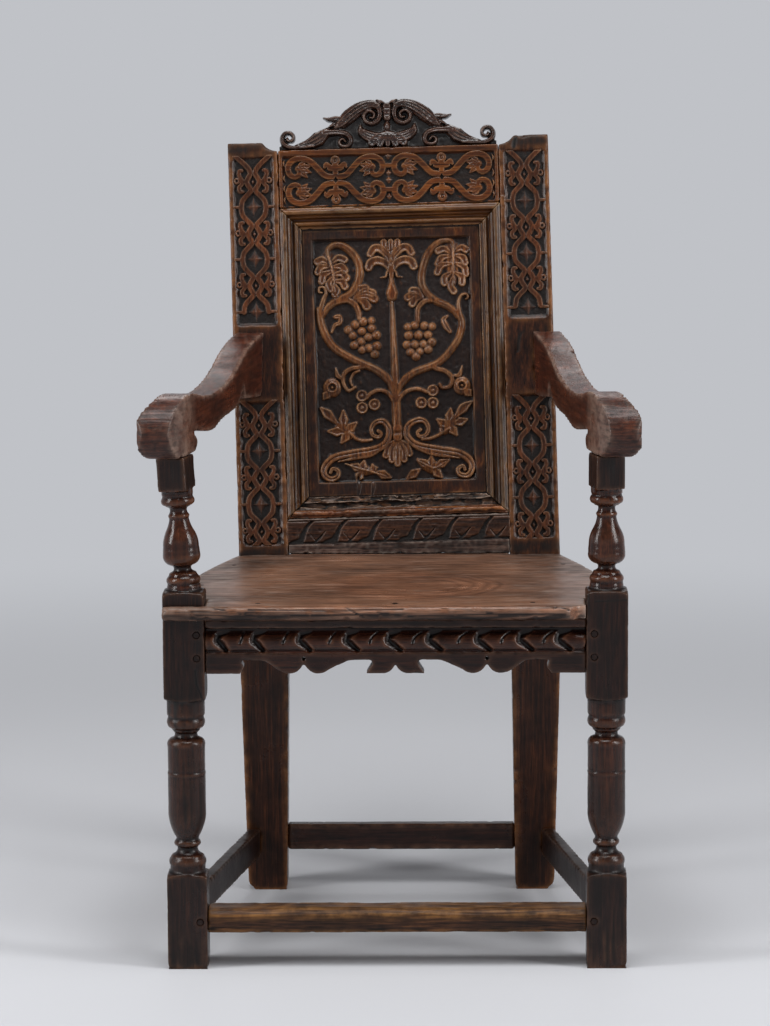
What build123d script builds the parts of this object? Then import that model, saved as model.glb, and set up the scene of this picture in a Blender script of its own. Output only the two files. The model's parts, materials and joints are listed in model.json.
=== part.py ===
from build123d import *
import math
import os

# Wainscot chair in joined oak. Millimetres, Z up, the sitter faces -Y.
# While it is modelled, X = 0 is the middle of the seat, Y = 0 the front of the front posts and
# Z = 0 the floor. At the end everything moves together, so that the origin of the finished chair
# is the middle of its own footprint on the floor. "h" is a height measured up the raked back.

# ---- driving dimensions: the whole chair ----
seat_height = 460.0          # floor to the top of the seat board
seat_depth = 414.0           # front of the front posts to the face of the back, at the seat
front_post_centre = 261.0    # middle of the chair to the axis of a front post
back_rake = 9.15             # degrees that the back leans backwards
back_lean = 1.4              # degrees that the old frame leans to one side
arm_height = 183.0           # seat to the top of an arm support

# ---- joints ----
fit = 0.2                    # play all round a tenon, and round a loose board in its groove
mortise_extra = 1.0          # a mortise is this much deeper than its tenon
peg_radius = 3.6
peg_play = 0.15
peg_proud = 0.6              # old pegs stand out as the posts shrink
foot_peg_length = 33.0       # pegs of the stretchers: through the front feet from the front,
side_peg_length = 35.0       # through them from the side,
rear_peg_length = 24.0       # and into the rear feet from the side

# ---- front posts ----
seat_block = 52.0            # square part of the post at the seat
foot_block = 50.0            # square part of the post at the floor
foot_block_height = 120.0
seat_block_drop = 120.5      # the seat block reaches this far below the seat
seat_block_rise = 16.0       # and this far above it
pommel_drop = 6.5            # a square is turned away this much lower at its corners
foot_collar_overlap = 1.0    # turned work runs this far into the square below or above it
support_low_overlap = 2.0
support_high_overlap = 1.3
support_lean_left = -3.3     # degrees that the arm support has crept outwards
support_lean_right = 0.0
top_block_width = 36.0
top_block_depth = 45.0
top_block_height = 41.0
top_block_turn = 12.0        # degrees, in line with the arm
arm_tenon = 18.0
arm_tenon_height = 38.0

# ---- rear posts ----
stile_outer = 214.5          # middle of the back to the outer face of a rear post
stile_width = 67.0
stile_thick = 46.0
stile_height = 555.5         # up the rake, from the seat to the top
stile_notch = 19.5           # hollow cut from the inner top corner, across
stile_notch_drop = 11.5      # and down
rear_foot_kick = 6.0         # the rear feet stand this much behind the seat line
rear_foot_outer = 207.0
rear_foot_inner = 154.0
taper_outer_drop = 160.0     # below the seat the outside of the leg starts to taper
taper_inner_drop = 30.0
foot_wear = 9.0              # worn-off outer corner of a rear foot

# ---- carved grounds in the back ----
ground_depth = 4.0           # carving is sunk this deep
stile_field_width = 53.0
stile_field_centre = 181.5
upper_field_height = 225.0       # carved field above the arm
upper_field_drop = 19.5          # from the top of the post
lower_field = (17.0, 208.0)      # heights of the carved field below the arm
rail_field_margin = 5.5          # plain edge at the ends of the top rail
rail_field_low = 1.2             # and below and above its carved field
rail_field_high = 9.3

# ---- back rails, panel and moulding ----
top_rail_width = 78.0
top_rail_drop = 11.2         # top of the posts to the top of the rail
lower_rail_top = 51.0
lower_rail_field = (16.0, 47.0)
back_rail_thick = 32.0
rail_tenon_thick = 11.0
rail_tenon_length = 36.0
rail_tenon_inset = 16.0      # face of the rail to face of its tenon
panel_back_set = 13.0        # face of the frame to face of the panel
panel_thick = 14.0
panel_edge = 7.0             # thickness at the bevelled edge, in the groove
panel_bevel = 24.0
groove_depth = 8.0
moulding_width = 28.4
panel_margin_side = 14.1     # moulding to the carved field of the panel
panel_margin_low = 18.6
panel_margin_high = 14.9
panel_field_depth = 6.0

# ---- crest ----
crest_height = 67.0
crest_half_length = 145.5
crest_thick = 26.0
crest_setback = 2.0
crest_ground = 10.0          # the leafwork is carved this deep above its backboard
dowel_radius = 4.5
dowel_reach = 14.0

# ---- seat ----
seat_thick = 18.0
seat_overhang = 16.0
seat_side_overhang = 4.0     # past the outer faces of the side rails
seat_tongue = 20.0           # reach of the board under the back rail
nosing = 7.0
break_length = 60.0          # right front corner of the board, split away
pin_radius = 3.0
pin_reach = 25.0             # into the rails

# ---- seat rails ----
rail_drop = 86.5             # top of the seat to the lower edge of the rails
rail_thick = 26.0
rail_setback = 3.0
side_rail_thick = 26.0
tenon_thick = 12.0
tenon_height = 44.0
tenon_length = 24.0
roll_drop = 29.8             # top of the seat to the top of the carved roll
roll_height = 30.5
roll_hollow = 9.0            # depth of the hollow in which the carved roll lies
lobe_cusp = 113.0            # middle of the rail to the point between two lobes
lobe_cusp_height = 15.0
scallop_height = 17.0        # plain edge between the lobes, above their lowest points
centre_notch = 13.0

# ---- stretchers ----
front_stretcher = (45.0, 75.0)
front_stretcher_depth = 40.0
front_stretcher_setback = 5.0
side_stretcher = (47.0, 85.0)
side_stretcher_thick = 17.0
rear_stretcher = (53.0, 89.0)
rear_stretcher_thick = 18.0
stretcher_tenon_thick = 9.0
stretcher_tenon_cut = 6.0    # shoulder above and below the tenon
stretcher_tenon_length = 20.0

# ---- arms ----
arm_thick = 36.0
arm_rear_centre = 196.0      # across, where the arm meets the back
arm_rear_rise = 110.0        # top of the arm at the back, above its seat on the support
arm_dip_rise = 61.0          # lowest part of the sweep
arm_hand_rise = 75.0         # highest part of the hand-hold
arm_front = 31.0             # reach of the hand-hold in front of the post
arm_splay_radius = 125.0     # the hand-holds curl outwards on this radius
arm_back_tenon_rise = 42.0   # seat on the support to the underside of the rear tenon
arm_back_tenon_height = 58.0
arm_back_tenon_length = 30.0
arm_ease = 80.0              # from the back, along which the top edge eases out of level
arm_sweep = 65.0             # then each step of the sweep down to its lowest part
arm_point = 77.0             # from the back to the point in the lower edge
arm_point_rise = 53.0
arm_shoulder_back = 60.0     # the arm runs straight to this far behind the seat line
arm_blank_back = 120.0       # and its blank is drawn to here, before the post cuts it off


def block(x0, x1, y0, y1, z0, z1):
    """A square-cut block between two opposite corners."""
    middle = ((x0 + x1) / 2, (y0 + y1) / 2, (z0 + z1) / 2)
    return Pos(*middle) * Box(abs(x1 - x0), abs(y1 - y0), abs(z1 - z0))


def tenon_in(x0, x1, y0, y1, z0, z1, grow=0.0):
    """A tenon, or with grow its mortise."""
    xs = sorted((x0, x1))
    ys = sorted((y0, y1))
    zs = sorted((z0, z1))
    return block(xs[0] - grow, xs[1] + grow, ys[0] - grow, ys[1] + grow, zs[0] - grow, zs[1] + grow)


def round_pin(start, end, radius):
    """A round pin from one point to another."""
    a = Vector(*start)
    b = Vector(*end)
    plane = Plane(origin=a, z_dir=b - a)
    return extrude(plane * Circle(radius), (b - a).length)


taper_top_outer = seat_height - taper_outer_drop
taper_top_inner = seat_height - taper_inner_drop
rail_bottom = seat_height - rail_drop
roll_top = seat_height - roll_drop
roll_bottom = roll_top - roll_height
arm_base = seat_height + arm_height
arm_back_tenon = (arm_height + arm_back_tenon_rise, arm_height + arm_back_tenon_rise + arm_back_tenon_height)
top_rail = (stile_height - top_rail_drop - top_rail_width, stile_height - top_rail_drop)
rail_field = (top_rail[0] + rail_field_low, top_rail[1] - rail_field_high)
upper_field = (stile_height - upper_field_drop - upper_field_height, stile_height - upper_field_drop)

# The back is built upright in its own frame and then raked and leant as one.
back_frame = Pos(0, seat_depth, seat_height) * Rot(-back_rake, 0, 0) * Rot(0, -back_lean, 0)


def in_back(shape):
    return back_frame * shape


stile_inner = stile_outer - stile_width
big = 2000.0
behind_back_face = in_back(block(-big, big, 0, big, -big, big))
above_seat = block(-big, big, -big, big, seat_height + fit, big)


# ---- turned work ----
def turned(start_z, end_z, start_r, rows):
    """Lathe work between two heights. Each row is a height, the radius at its top, and how far
    the surface between swells (+) or is hollowed (-). A row without height is a square shoulder.
    The heights are drawn for this chair and stretched together to fit."""
    stretch = (end_z - start_z) / sum(rise for rise, radius, swell in rows)
    points = [(start_r, start_z)]
    edges = [Line((0, start_z), points[0])]
    for rise, radius, swell in rows:
        r0, z0 = points[-1]
        r1, z1 = radius, z0 + rise * stretch
        swell = swell * stretch
        if swell:
            chord = math.hypot(r1 - r0, z1 - z0)
            out = ((z1 - z0) / chord, (r0 - r1) / chord)
            middle = ((r0 + r1) / 2 + swell * out[0], (z0 + z1) / 2 + swell * out[1])
            edges.append(ThreePointArc((r0, z0), middle, (r1, z1)))
        else:
            edges.append(Line((r0, z0), (r1, z1)))
        points.append((r1, z1))
    top_z = points[-1][1]
    edges.append(Line(points[-1], (0, top_z)))
    edges.append(Line((0, top_z), (0, start_z)))
    return revolve(Plane.XZ * make_face(edges), Axis.Z)


def pommel(size, z0, z1, low_turned, high_turned):
    """A square block whose ends are turned away, so each face ends in an arch."""
    corner = size / math.sqrt(2) + 1
    low = pommel_drop if low_turned else 0
    high = pommel_drop if high_turned else 0
    edges = [Line((0, z0), (size / 2, z0))]
    if low:
        edges.append(ThreePointArc((size / 2, z0), ((size / 2 + corner) / 2 + 1.2, z0 + low / 2 - 1.2),
                                   (corner, z0 + low)))
    else:
        edges.append(Line((size / 2, z0), (corner, z0)))
    edges.append(Line((corner, z0 + low), (corner, z1 - high)))
    if high:
        edges.append(ThreePointArc((corner, z1 - high), ((size / 2 + corner) / 2 + 1.2, z1 - high / 2 + 1.2),
                                   (size / 2, z1)))
    else:
        edges.append(Line((corner, z1), (size / 2, z1)))
    edges.append(Line((size / 2, z1), (0, z1)))
    edges.append(Line((0, z1), (0, z0)))
    envelope = revolve(Plane.XZ * make_face(edges), Axis.Z)
    return envelope & block(-size / 2, size / 2, -size / 2, size / 2, z0, z1)


seat_block_bottom = seat_height - seat_block_drop
seat_block_top = seat_height + seat_block_rise


def leg_turning():
    rows = [
        (8.0, 22.3, 0), (0, 20.5, 0),                # collar on the foot
        (12.6, 20.5, 3.0), (2.2, 20.5, 0),           # ring
        (9.7, 12.7, -2.6), (1.0, 12.7, 0),           # hollow running up to the neck
        (8.6, 12.7, 4.3), (0.5, 12.9, 0),            # small ring
        (30.4, 23.7, 2.0), (48.3, 23.8, 0),          # shoulder and column
        (0.7, 22.9, 0), (0.7, 23.7, 0),              # scored line
        (2.6, 23.7, 0), (3.0, 23.5, 0.8),            # small bead
        (1.3, 22.2, 0), (1.4, 23.6, 0),              # groove
        (29.1, 23.5, 0), (11.5, 13.6, 4.4),          # top of the column
        (6.0, 12.9, 1.2), (2.0, 12.5, 0),            # bead and neck
        (0, 17.5, 0), (4.4, 17.5, 0), (0, 21.0, 0),
        (14.6, 21.0, 3.0), (1.4, 22.4, 0),           # ring
        (0, 23.8, 0), (20.5, 23.8, 0),               # collar under the seat block
    ]
    return turned(foot_block_height - foot_collar_overlap, seat_block_bottom, 22.3, rows)


def support_turning():
    rows = [
        (8.0, 21.2, 0), (0.7, 19.6, 0), (0.8, 18.6, 0),
        (10.2, 18.6, 2.9), (0.8, 17.4, 0),           # ring
        (3.2, 17.4, 0), (2.4, 11.4, 0),
        (6.6, 11.4, -0.5),                           # neck
        (16.0, 23.0, 5.0), (6.0, 22.7, 0.2),         # belly of the vase
        (0.7, 21.8, 0), (0.7, 22.5, 0),              # scored line
        (18.0, 18.6, 1.1), (18.4, 11.9, -0.9),       # long neck of the vase
        (0.6, 11.9, 0), (3.6, 11.9, 1.8),            # thin ring
        (9.0, 10.7, -0.6), (0, 15.0, 0), (2.4, 15.0, 0),
        (0, 18.4, 0), (10.2, 18.4, 2.8),             # ring
        (2.4, 17.6, 0), (0, 19.7, 0),
        (8.6, 19.7, 0),                              # collar under the top block
    ]
    return turned(seat_block_top - support_low_overlap, arm_base - top_block_height + support_high_overlap,
                  21.2, rows)


def support_top(side):
    """Middle of the top of an arm support, after it has crept outwards."""
    lean = math.radians(support_lean_left if side < 0 else support_lean_right)
    rise = arm_base - seat_block_top
    return side * front_post_centre + rise * math.tan(lean), seat_block / 2


def arm_tenon_at(side, grow=0.0, extra=0.0):
    x, y = support_top(side)
    tenon = block(-arm_tenon / 2 - grow, arm_tenon / 2 + grow, -arm_tenon / 2 - grow, arm_tenon / 2 + grow,
                  -6, arm_tenon_height + extra)
    return Pos(x, y, arm_base) * Rot(0, 0, side * top_block_turn) * tenon


def front_post(side):
    x = side * front_post_centre
    y = seat_block / 2
    foot = pommel(foot_block, 0, foot_block_height, False, True)
    block_at_seat = pommel(seat_block, seat_block_bottom, seat_block_top, True, True)
    lower = Pos(x, y, 0) * (foot + leg_turning() + block_at_seat)
    top_z = arm_base - top_block_height
    square = block(-top_block_width / 2, top_block_width / 2, -top_block_depth / 2, top_block_depth / 2,
                   top_z - 1, arm_base + 10)
    upper = support_turning() + Rot(0, 0, side * top_block_turn) * square
    lean = support_lean_left if side < 0 else support_lean_right
    upper = Pos(x, y, seat_block_top) * Rot(0, lean, 0) * Pos(0, 0, -seat_block_top) * upper
    upper = upper & block(-big, big, -big, big, 0, arm_base)
    return lower + upper + arm_tenon_at(side)


# ---- rear posts ----
back_depth_at_seat = stile_thick / math.cos(math.radians(back_rake))


def rear_leg(side):
    """The part of a rear post below the seat, plumb from the front and tapered to its foot."""
    profile = Plane.YZ * make_face(Polyline(
        (seat_depth, seat_height), (seat_depth + rear_foot_kick, 0),
        (seat_depth + rear_foot_kick + stile_thick - 1, 0),
        (seat_depth + back_depth_at_seat, seat_height), close=True))
    widen = 1 / math.cos(math.radians(back_lean))
    inner = stile_inner * widen
    outer = stile_outer * widen
    leg = Pos(inner, 0, 0) * extrude(profile, outer - inner, dir=(1, 0, 0))
    taper_out = Plane.XZ * make_face(Polyline(
        (outer, taper_top_outer), (rear_foot_outer, foot_wear), (rear_foot_outer - foot_wear, 0),
        (outer + 50, -20), (outer + 50, taper_top_outer), close=True))
    taper_in = Plane.XZ * make_face(Polyline(
        (inner, taper_top_inner), (rear_foot_inner, 0), (rear_foot_inner, -20),
        (inner - 20, -20), (inner - 20, taper_top_inner), close=True))
    leg = leg - extrude(taper_out, -big) - extrude(taper_in, -big)
    return leg if side > 0 else mirror(leg, Plane.YZ)


def carved_ground(x0, x1, h0, h1, depth, face=0.0):
    """The sunk ground of a carved field, cut into a face."""
    return block(x0, x1, face - 5, face + depth, h0, h1)


def stile(side):
    """The part of a rear post above the seat, in the frame of the back."""
    x0, x1 = sorted((side * stile_inner, side * stile_outer))
    body = block(x0, x1, 0, stile_thick, -60, stile_height)
    corner = Plane.XZ * make_face([
        Line((side * stile_inner, stile_height + 1), (side * (stile_inner + stile_notch), stile_height + 1)),
        Line((side * (stile_inner + stile_notch), stile_height + 1),
             (side * (stile_inner + stile_notch), stile_height - 2)),
        ThreePointArc((side * (stile_inner + stile_notch), stile_height - 2),
                      (side * (stile_inner + stile_notch * 0.62), stile_height - stile_notch_drop * 0.72),
                      (side * stile_inner, stile_height - stile_notch_drop)),
        Line((side * stile_inner, stile_height - stile_notch_drop), (side * stile_inner, stile_height + 1)),
    ])
    body = body - extrude(corner, stile_thick + 10, both=True)
    middle = side * stile_field_centre
    for low, high in (upper_field, lower_field):
        body = body - carved_ground(middle - stile_field_width / 2, middle + stile_field_width / 2,
                                    low, high, ground_depth)
    groove_end = side * (stile_inner + groove_depth)
    x0, x1 = sorted((side * (stile_inner - 1), groove_end))
    body = body - block(x0, x1, panel_back_set - peg_play, panel_back_set + panel_edge + fit,
                        lower_rail_top - groove_depth, top_rail[0] + groove_depth)
    return body


def rear_post(side):
    upper = in_back(stile(side)) & block(-big, big, -big, big, seat_height, big)
    return rear_leg(side) + upper


# ---- the panel of the back and the rails round it ----
def back_rail(h0, h1, tenon_low, tenon_high):
    rail = block(-stile_inner, stile_inner, 0, back_rail_thick, h0, h1)
    for side in (-1, 1):
        rail = rail + back_rail_tenon(side, tenon_low, tenon_high)
    return rail


def back_rail_tenon(side, low, high, grow=0.0, extra=0.0):
    return tenon_in(side * (stile_inner - 4), side * (stile_inner + rail_tenon_length + extra),
                    rail_tenon_inset, rail_tenon_inset + rail_tenon_thick, low, high, grow)


top_tenon = (top_rail[0] + groove_depth + 2, top_rail[1] - 10)
lower_tenon = (8.0, lower_rail_top - groove_depth - 2)


def panel_groove(h0, h1):
    return block(-big, big, panel_back_set - peg_play, panel_back_set + panel_edge + fit, h0, h1)


def top_rail_piece():
    rail = back_rail(top_rail[0], top_rail[1], *top_tenon)
    groove = panel_groove(top_rail[0] - 1, top_rail[0] + groove_depth)
    groove = groove & block(-stile_inner, stile_inner, -big, big, -big, big)
    edge = stile_inner - rail_field_margin
    return rail - groove - carved_ground(-edge, edge, rail_field[0], rail_field[1], ground_depth)


def lower_rail_piece():
    rail = back_rail(-30, lower_rail_top, *lower_tenon)
    groove = panel_groove(lower_rail_top - groove_depth, lower_rail_top + 1)
    groove = groove & block(-stile_inner, stile_inner, -big, big, -big, big)
    rail = rail - groove
    rail = rail - carved_ground(-stile_inner, stile_inner, lower_rail_field[0], lower_rail_field[1], ground_depth)
    return in_back(rail) & above_seat


def panel_piece():
    reach = groove_depth - 1.0
    x = stile_inner + reach
    low = lower_rail_top - reach
    high = top_rail[0] + reach
    raise_plane = Plane.XZ.offset(-panel_back_set - panel_thick)
    wide = raise_plane * make_face(Polyline(
        (-x + panel_bevel, low + panel_bevel), (x - panel_bevel, low + panel_bevel),
        (x - panel_bevel, high - panel_bevel), (-x + panel_bevel, high - panel_bevel), close=True))
    bx = stile_inner - 1.0
    b_low = lower_rail_top + 1.0
    b_high = top_rail[0] - 1.0
    edge_face = Plane.XZ.offset(-panel_back_set - panel_edge) * make_face(Polyline(
        (-bx, b_low), (bx, b_low), (bx, b_high), (-bx, b_high), close=True))
    raised = loft([edge_face, wide])
    flat = block(-x, x, panel_back_set, panel_back_set + panel_edge, low, high)
    board = raised + flat
    edge = stile_inner - moulding_width - panel_margin_side
    return board - block(-edge, edge, panel_back_set - 5, panel_back_set + panel_field_depth,
                         lower_rail_top + moulding_width + panel_margin_low,
                         top_rail[0] - moulding_width - panel_margin_high)


def moulding_section():
    """Section of the moulding: u runs in from the frame, t stands forward of the panel."""
    w = moulding_width
    top = panel_back_set
    return make_face([
        Line((0, 0), (0, top - 0.5)),
        Line((0, top - 0.5), (2.4, top - 0.5)),
        ThreePointArc((2.4, top - 0.5), (6.0, top + 2.0), (9.4, top + 0.4)),
        Line((9.4, top + 0.4), (10.4, top - 4.6)),
        Line((10.4, top - 4.6), (13.4, top - 5.2)),
        ThreePointArc((13.4, top - 5.2), (15.3, top - 8.7), (18.6, top - 9.4)),
        ThreePointArc((18.6, top - 9.4), (21.2, top - 5.4), (24.0, top - 9.6)),
        Line((24.0, top - 9.6), (25.2, top - 10.6)),
        ThreePointArc((25.2, top - 10.6), (w - 1.4, top - 9.2), (w, top - 11.4)),
        Line((w, top - 11.4), (w, 0)),
        Line((w, 0), (0, 0)),
    ])


def moulding_piece(edge):
    """One mitred length of the moulding that frames the panel."""
    half = stile_inner
    low = lower_rail_top
    high = top_rail[0]
    w = moulding_width
    corners = {
        "top": ((-half, high), (half, high), (half - w, high - w), (-half + w, high - w)),
        "bottom": ((-half, low), (half, low), (half - w, low + w), (-half + w, low + w)),
        "left": ((-half, low), (-half, high), (-half + w, high - w), (-half + w, low + w)),
        "right": ((half, low), (half, high), (half - w, high - w), (half - w, low + w)),
    }[edge]
    mitre = extrude(Plane.XZ * make_face(Polyline(*corners, close=True)), big, both=True)
    section = moulding_section()
    if edge in ("top", "bottom"):
        inward = -1 if edge == "top" else 1
        at = high if edge == "top" else low
        plane = Plane(origin=(0, panel_back_set, at), x_dir=(0, 0, inward),
                      z_dir=Vector(0, 0, inward).cross(Vector(0, -1, 0)))
        length = 2 * half
    else:
        inward = 1 if edge == "left" else -1
        plane = Plane(origin=(inward * -half, panel_back_set, (low + high) / 2), x_dir=(inward, 0, 0),
                      z_dir=Vector(inward, 0, 0).cross(Vector(0, -1, 0)))
        length = high - low
    return extrude(plane * section, length / 2 + 1, both=True) & mitre


# ---- crest ----
def crest_outline():
    """Half outline of the crest, from its middle to its outer scroll, then mirrored."""
    half = crest_half_length
    top = crest_height
    volute = 11.0
    eye = (half - volute, 16.5)
    edges = [
        Line((0, 0), (half - 9, 0)),
        ThreePointArc((half - 9, 0), (half - 2.2, 5.5), (half, eye[1])),
        ThreePointArc((half, eye[1]), (eye[0] + 2, eye[1] + volute - 1), (half - 2 * volute, eye[1])),
        Line((half - 2 * volute, eye[1]), (half - 2 * volute - 1, 9.5)),
        Spline((half - 2 * volute - 1, 9.5), (105, 13), (92, 20), (81.5, 31)),
        ThreePointArc((81.5, 31), (83, 37), (88.5, 43)),
        ThreePointArc((88.5, 43), (78, 41.5), (68, 37.5)),
        Spline((68, 37.5), (57, 48), (42, 59), (24, top - 2.2), (12, top - 1.2)),
        Line((12, top - 1.2), (0, top)),
        Line((0, top), (0, 0)),
    ]
    right = make_face(edges)
    return right + mirror(right, Plane.YZ)


def band(points, width):
    """A ribbon of even width along a smooth line."""
    return trace(Spline(*points), line_width=width)


def crest_relief():
    """The scrolls, leaves and clasp that stand forward of the backboard."""
    half = crest_half_length
    right = Pos(half - 11, 16.5) * Circle(10.0)
    right = right + band([(half - 8, 6), (118, 5), (98, 12), (84, 22)], 8)
    right = right + band([(82, 27), (66, 34), (52, 47), (36, 57), (20, 57)], 13)
    right = right + Pos(22.5, 45) * Circle(8.5)
    right = right + Pos(56, 9.5) * Circle(8.5)
    right = right + band([(58, 16), (72, 13), (84, 20)], 8)
    right = right + band([(0, 12), (16, 13), (30, 24), (37, 31)], 9)
    middle = Pos(0, 56) * Rectangle(10, 18) + Pos(0, 29) * Ellipse(5.5, 8) + Pos(0, 10) * Ellipse(14, 10)
    flat = right + mirror(right, Plane.YZ) + middle
    return flat & crest_outline()


def crest_piece():
    ground_face = Plane.XZ.offset(-(crest_setback + crest_ground)) * crest_outline()
    backboard = extrude(ground_face, -(crest_thick - crest_ground))
    relief_face = Plane.XZ.offset(-crest_setback) * crest_relief()
    relief = extrude(relief_face, -(crest_ground + 2))
    crest = Pos(0, 0, top_rail[1]) * (backboard + relief)
    return crest


def crest_dowel(side, grow=0.0, extra=0.0):
    x = side * crest_half_length * 0.55
    y = crest_setback + crest_ground + (crest_thick - crest_ground) / 2
    return round_pin((x, y, top_rail[1] - dowel_reach - extra), (x, y, top_rail[1] + dowel_reach + extra),
                     dowel_radius + grow)


# ---- seat board ----
side_rail_outer_front = front_post_centre + seat_block / 2 - seat_side_overhang
side_rail_outer_rear = stile_outer - seat_side_overhang


def seat_board_blank():
    front_x = front_post_centre + seat_block / 2
    y0 = -seat_overhang
    rear = seat_depth + seat_tongue
    tongue = stile_inner - fit
    outline = make_face([
        Line((-front_x, y0), (front_x, y0)),
        Line((front_x, y0), (front_x, seat_block + 1)),
        Spline((front_x, seat_block + 1), (stile_outer + 24, seat_depth - 84), (stile_outer, seat_depth)),
        Polyline((stile_outer, seat_depth), (stile_outer, seat_depth + 1), (tongue, seat_depth + 1),
                 (tongue, rear), (-tongue, rear), (-tongue, seat_depth + 1), (-stile_outer, seat_depth + 1),
                 (-stile_outer, seat_depth)),
        Spline((-stile_outer, seat_depth), (-stile_outer - 24, seat_depth - 84), (-front_x, seat_block + 1)),
        Line((-front_x, seat_block + 1), (-front_x, y0)),
    ])
    return Pos(0, 0, seat_height - seat_thick) * extrude(outline, seat_thick)


def seat_board_piece():
    board = seat_board_blank()
    nose = [e for e in board.edges().filter_by(Axis.X) if abs(e.center().Y + seat_overhang) < 0.01]
    board = fillet(nose, nosing)
    for side in (-1, 1):
        x = side * front_post_centre
        reach = seat_block / 2 + fit
        outer = x + side * (reach + 5)
        x0, x1 = sorted((x - side * reach, outer))
        front = -fit if side < 0 else -seat_overhang - 5
        board = board - block(x0, x1, front, seat_block + fit, seat_height - 50, seat_height + 50)
    # the right front corner has split away along the grain
    end = front_post_centre - seat_block / 2
    split = Plane.XY.offset(seat_height - 50) * make_face(Polyline(
        (end + 1, -seat_overhang - 5), (end - break_length * 0.45, -seat_overhang - 5),
        (end - break_length * 0.3, -seat_overhang + 5), (end - 9, -3.0), (end + 1, -1.0), close=True))
    board = board - extrude(split, 100)
    for side in (-1, 1):
        board = board - rear_leg(side)
    return board


def seat_pins(grow=0.0, extra=0.0):
    pins = []
    front_y = rail_setback + rail_thick / 2
    span = front_post_centre * 0.65
    for x in (-span, 0, span):
        pins.append(round_pin((x, front_y, rail_top - pin_reach - extra), (x, front_y, seat_height + grow),
                              pin_radius + grow))
    for side in (-1, 1):
        for share in (0.3, 0.75):
            y = seat_block + share * (seat_depth - seat_block)
            x = side * (side_rail_outer_front + share * (side_rail_outer_rear - side_rail_outer_front)
                        - side_rail_thick / 2)
            pins.append(round_pin((x, y, rail_top - pin_reach - extra), (x, y, seat_height + grow),
                                  pin_radius + grow))
    return pins


# ---- seat rails ----
rail_top = seat_height - seat_thick
tenon_bottom = rail_top - 12 - tenon_height
front_rail_half = front_post_centre - seat_block / 2


def scalloped_edge():
    """Lower edge of the front rail: a double lobe in the middle, a pair of lobes on each side
    and a square bracket at each post. Right half, from the middle outwards."""
    low = rail_bottom
    flat = rail_bottom + scallop_height
    end = front_rail_half
    cusp = (lobe_cusp, low + lobe_cusp_height)
    first = lobe_cusp - 17        # lowest points of the pair of lobes
    second = lobe_cusp + 17
    bracket = end - 45
    return [
        ThreePointArc((0, low + centre_notch), (6, low + centre_notch * 0.25), (14, low)),
        Line((14, low), (36.5, low)),
        Line((36.5, low), (28, flat - 3)),
        Line((28, flat - 3), (31, flat)),
        Line((31, flat), (first - 46, flat)),
        Spline((first - 46, flat), (first - 30, flat - 4.5), (first - 14, flat - 12), (first, low),
               tangents=((1, 0), (1, 0))),
        ThreePointArc((first, low), (lobe_cusp - 5.4, low + 4.6), cusp),
        ThreePointArc(cusp, (lobe_cusp + 5.4, low + 4.6), (second, low)),
        Spline((second, low), (second + 14, low + 4.5), (second + 26, flat - 4), (second + 40, flat),
               tangents=((1, 0), (1, 0))),
        Line((second + 40, flat), (bracket, flat)),
        Line((bracket, flat), (bracket - 3, low + 8)),
        Line((bracket - 3, low + 8), (bracket + 2, low)),
        Line((bracket + 2, low), (end, low)),
    ]


def front_rail_piece():
    y0 = rail_setback
    y1 = rail_setback + rail_thick
    end = front_rail_half
    edges = scalloped_edge()
    edges.append(Line((end, rail_bottom), (end, rail_top)))
    edges.append(Line((end, rail_top), (0, rail_top)))
    edges.append(Line((0, rail_top), (0, rail_bottom + centre_notch)))
    half = make_face(edges)
    board = extrude(Plane.XZ.offset(-y0) * (half + mirror(half, Plane.YZ)), -rail_thick)
    # the roll lies in a hollow between two plain strips
    hollow = block(-end, end, y0 - 5, y0 + roll_hollow, roll_bottom, roll_top)
    roll_section = Plane.YZ * make_face([
        Line((y0 + roll_hollow, roll_bottom + 0.8), (y0 + 4, roll_bottom + 1.4)),
        ThreePointArc((y0 + 4, roll_bottom + 1.4), (y0 - 1.6, roll_bottom + 11), (y0 + 3, roll_top - 9)),
        ThreePointArc((y0 + 3, roll_top - 9), (y0 + 7, roll_top - 6), (y0 + roll_hollow, roll_top - 2)),
        Line((y0 + roll_hollow, roll_top - 2), (y0 + roll_hollow, roll_bottom + 0.8)),
    ])
    roll = extrude(roll_section, end, both=True)
    rail = board - hollow + roll
    for side in (-1, 1):
        rail = rail + front_rail_tenon(side)
    for x in (-lobe_cusp, lobe_cusp):
        eye_z = rail_bottom + lobe_cusp_height + 4.0
        rail = rail - round_pin((x, y0 - 5, eye_z), (x, y1 + 5, eye_z), 2.2)
    return rail


def front_rail_tenon(side, grow=0.0, extra=0.0):
    inner = side * (front_rail_half - 3)
    y0 = rail_setback + roll_hollow + 1
    return tenon_in(inner, side * (front_rail_half + tenon_length + extra), y0, y0 + tenon_thick,
                    tenon_bottom, tenon_bottom + tenon_height, grow)


def side_rail_blank(side):
    outer0 = side_rail_outer_front
    outer1 = side_rail_outer_rear
    y0, y1 = seat_block / 2, seat_depth + stile_thick
    slope = (outer1 - outer0) / (seat_depth - seat_block)
    a = outer0 + slope * (y0 - seat_block)
    b = outer0 + slope * (y1 - seat_block)
    plan = Plane.XY.offset(rail_bottom) * make_face(Polyline(
        (side * a, y0), (side * b, y1), (side * (b - side_rail_thick), y1), (side * (a - side_rail_thick), y0),
        close=True))
    return extrude(plan, rail_top - rail_bottom)


side_tenon_front = side_rail_outer_front - side_rail_thick / 2
side_tenon_rear = side_rail_outer_rear - side_rail_thick / 2
side_tenon_reach = 22.0


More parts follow.
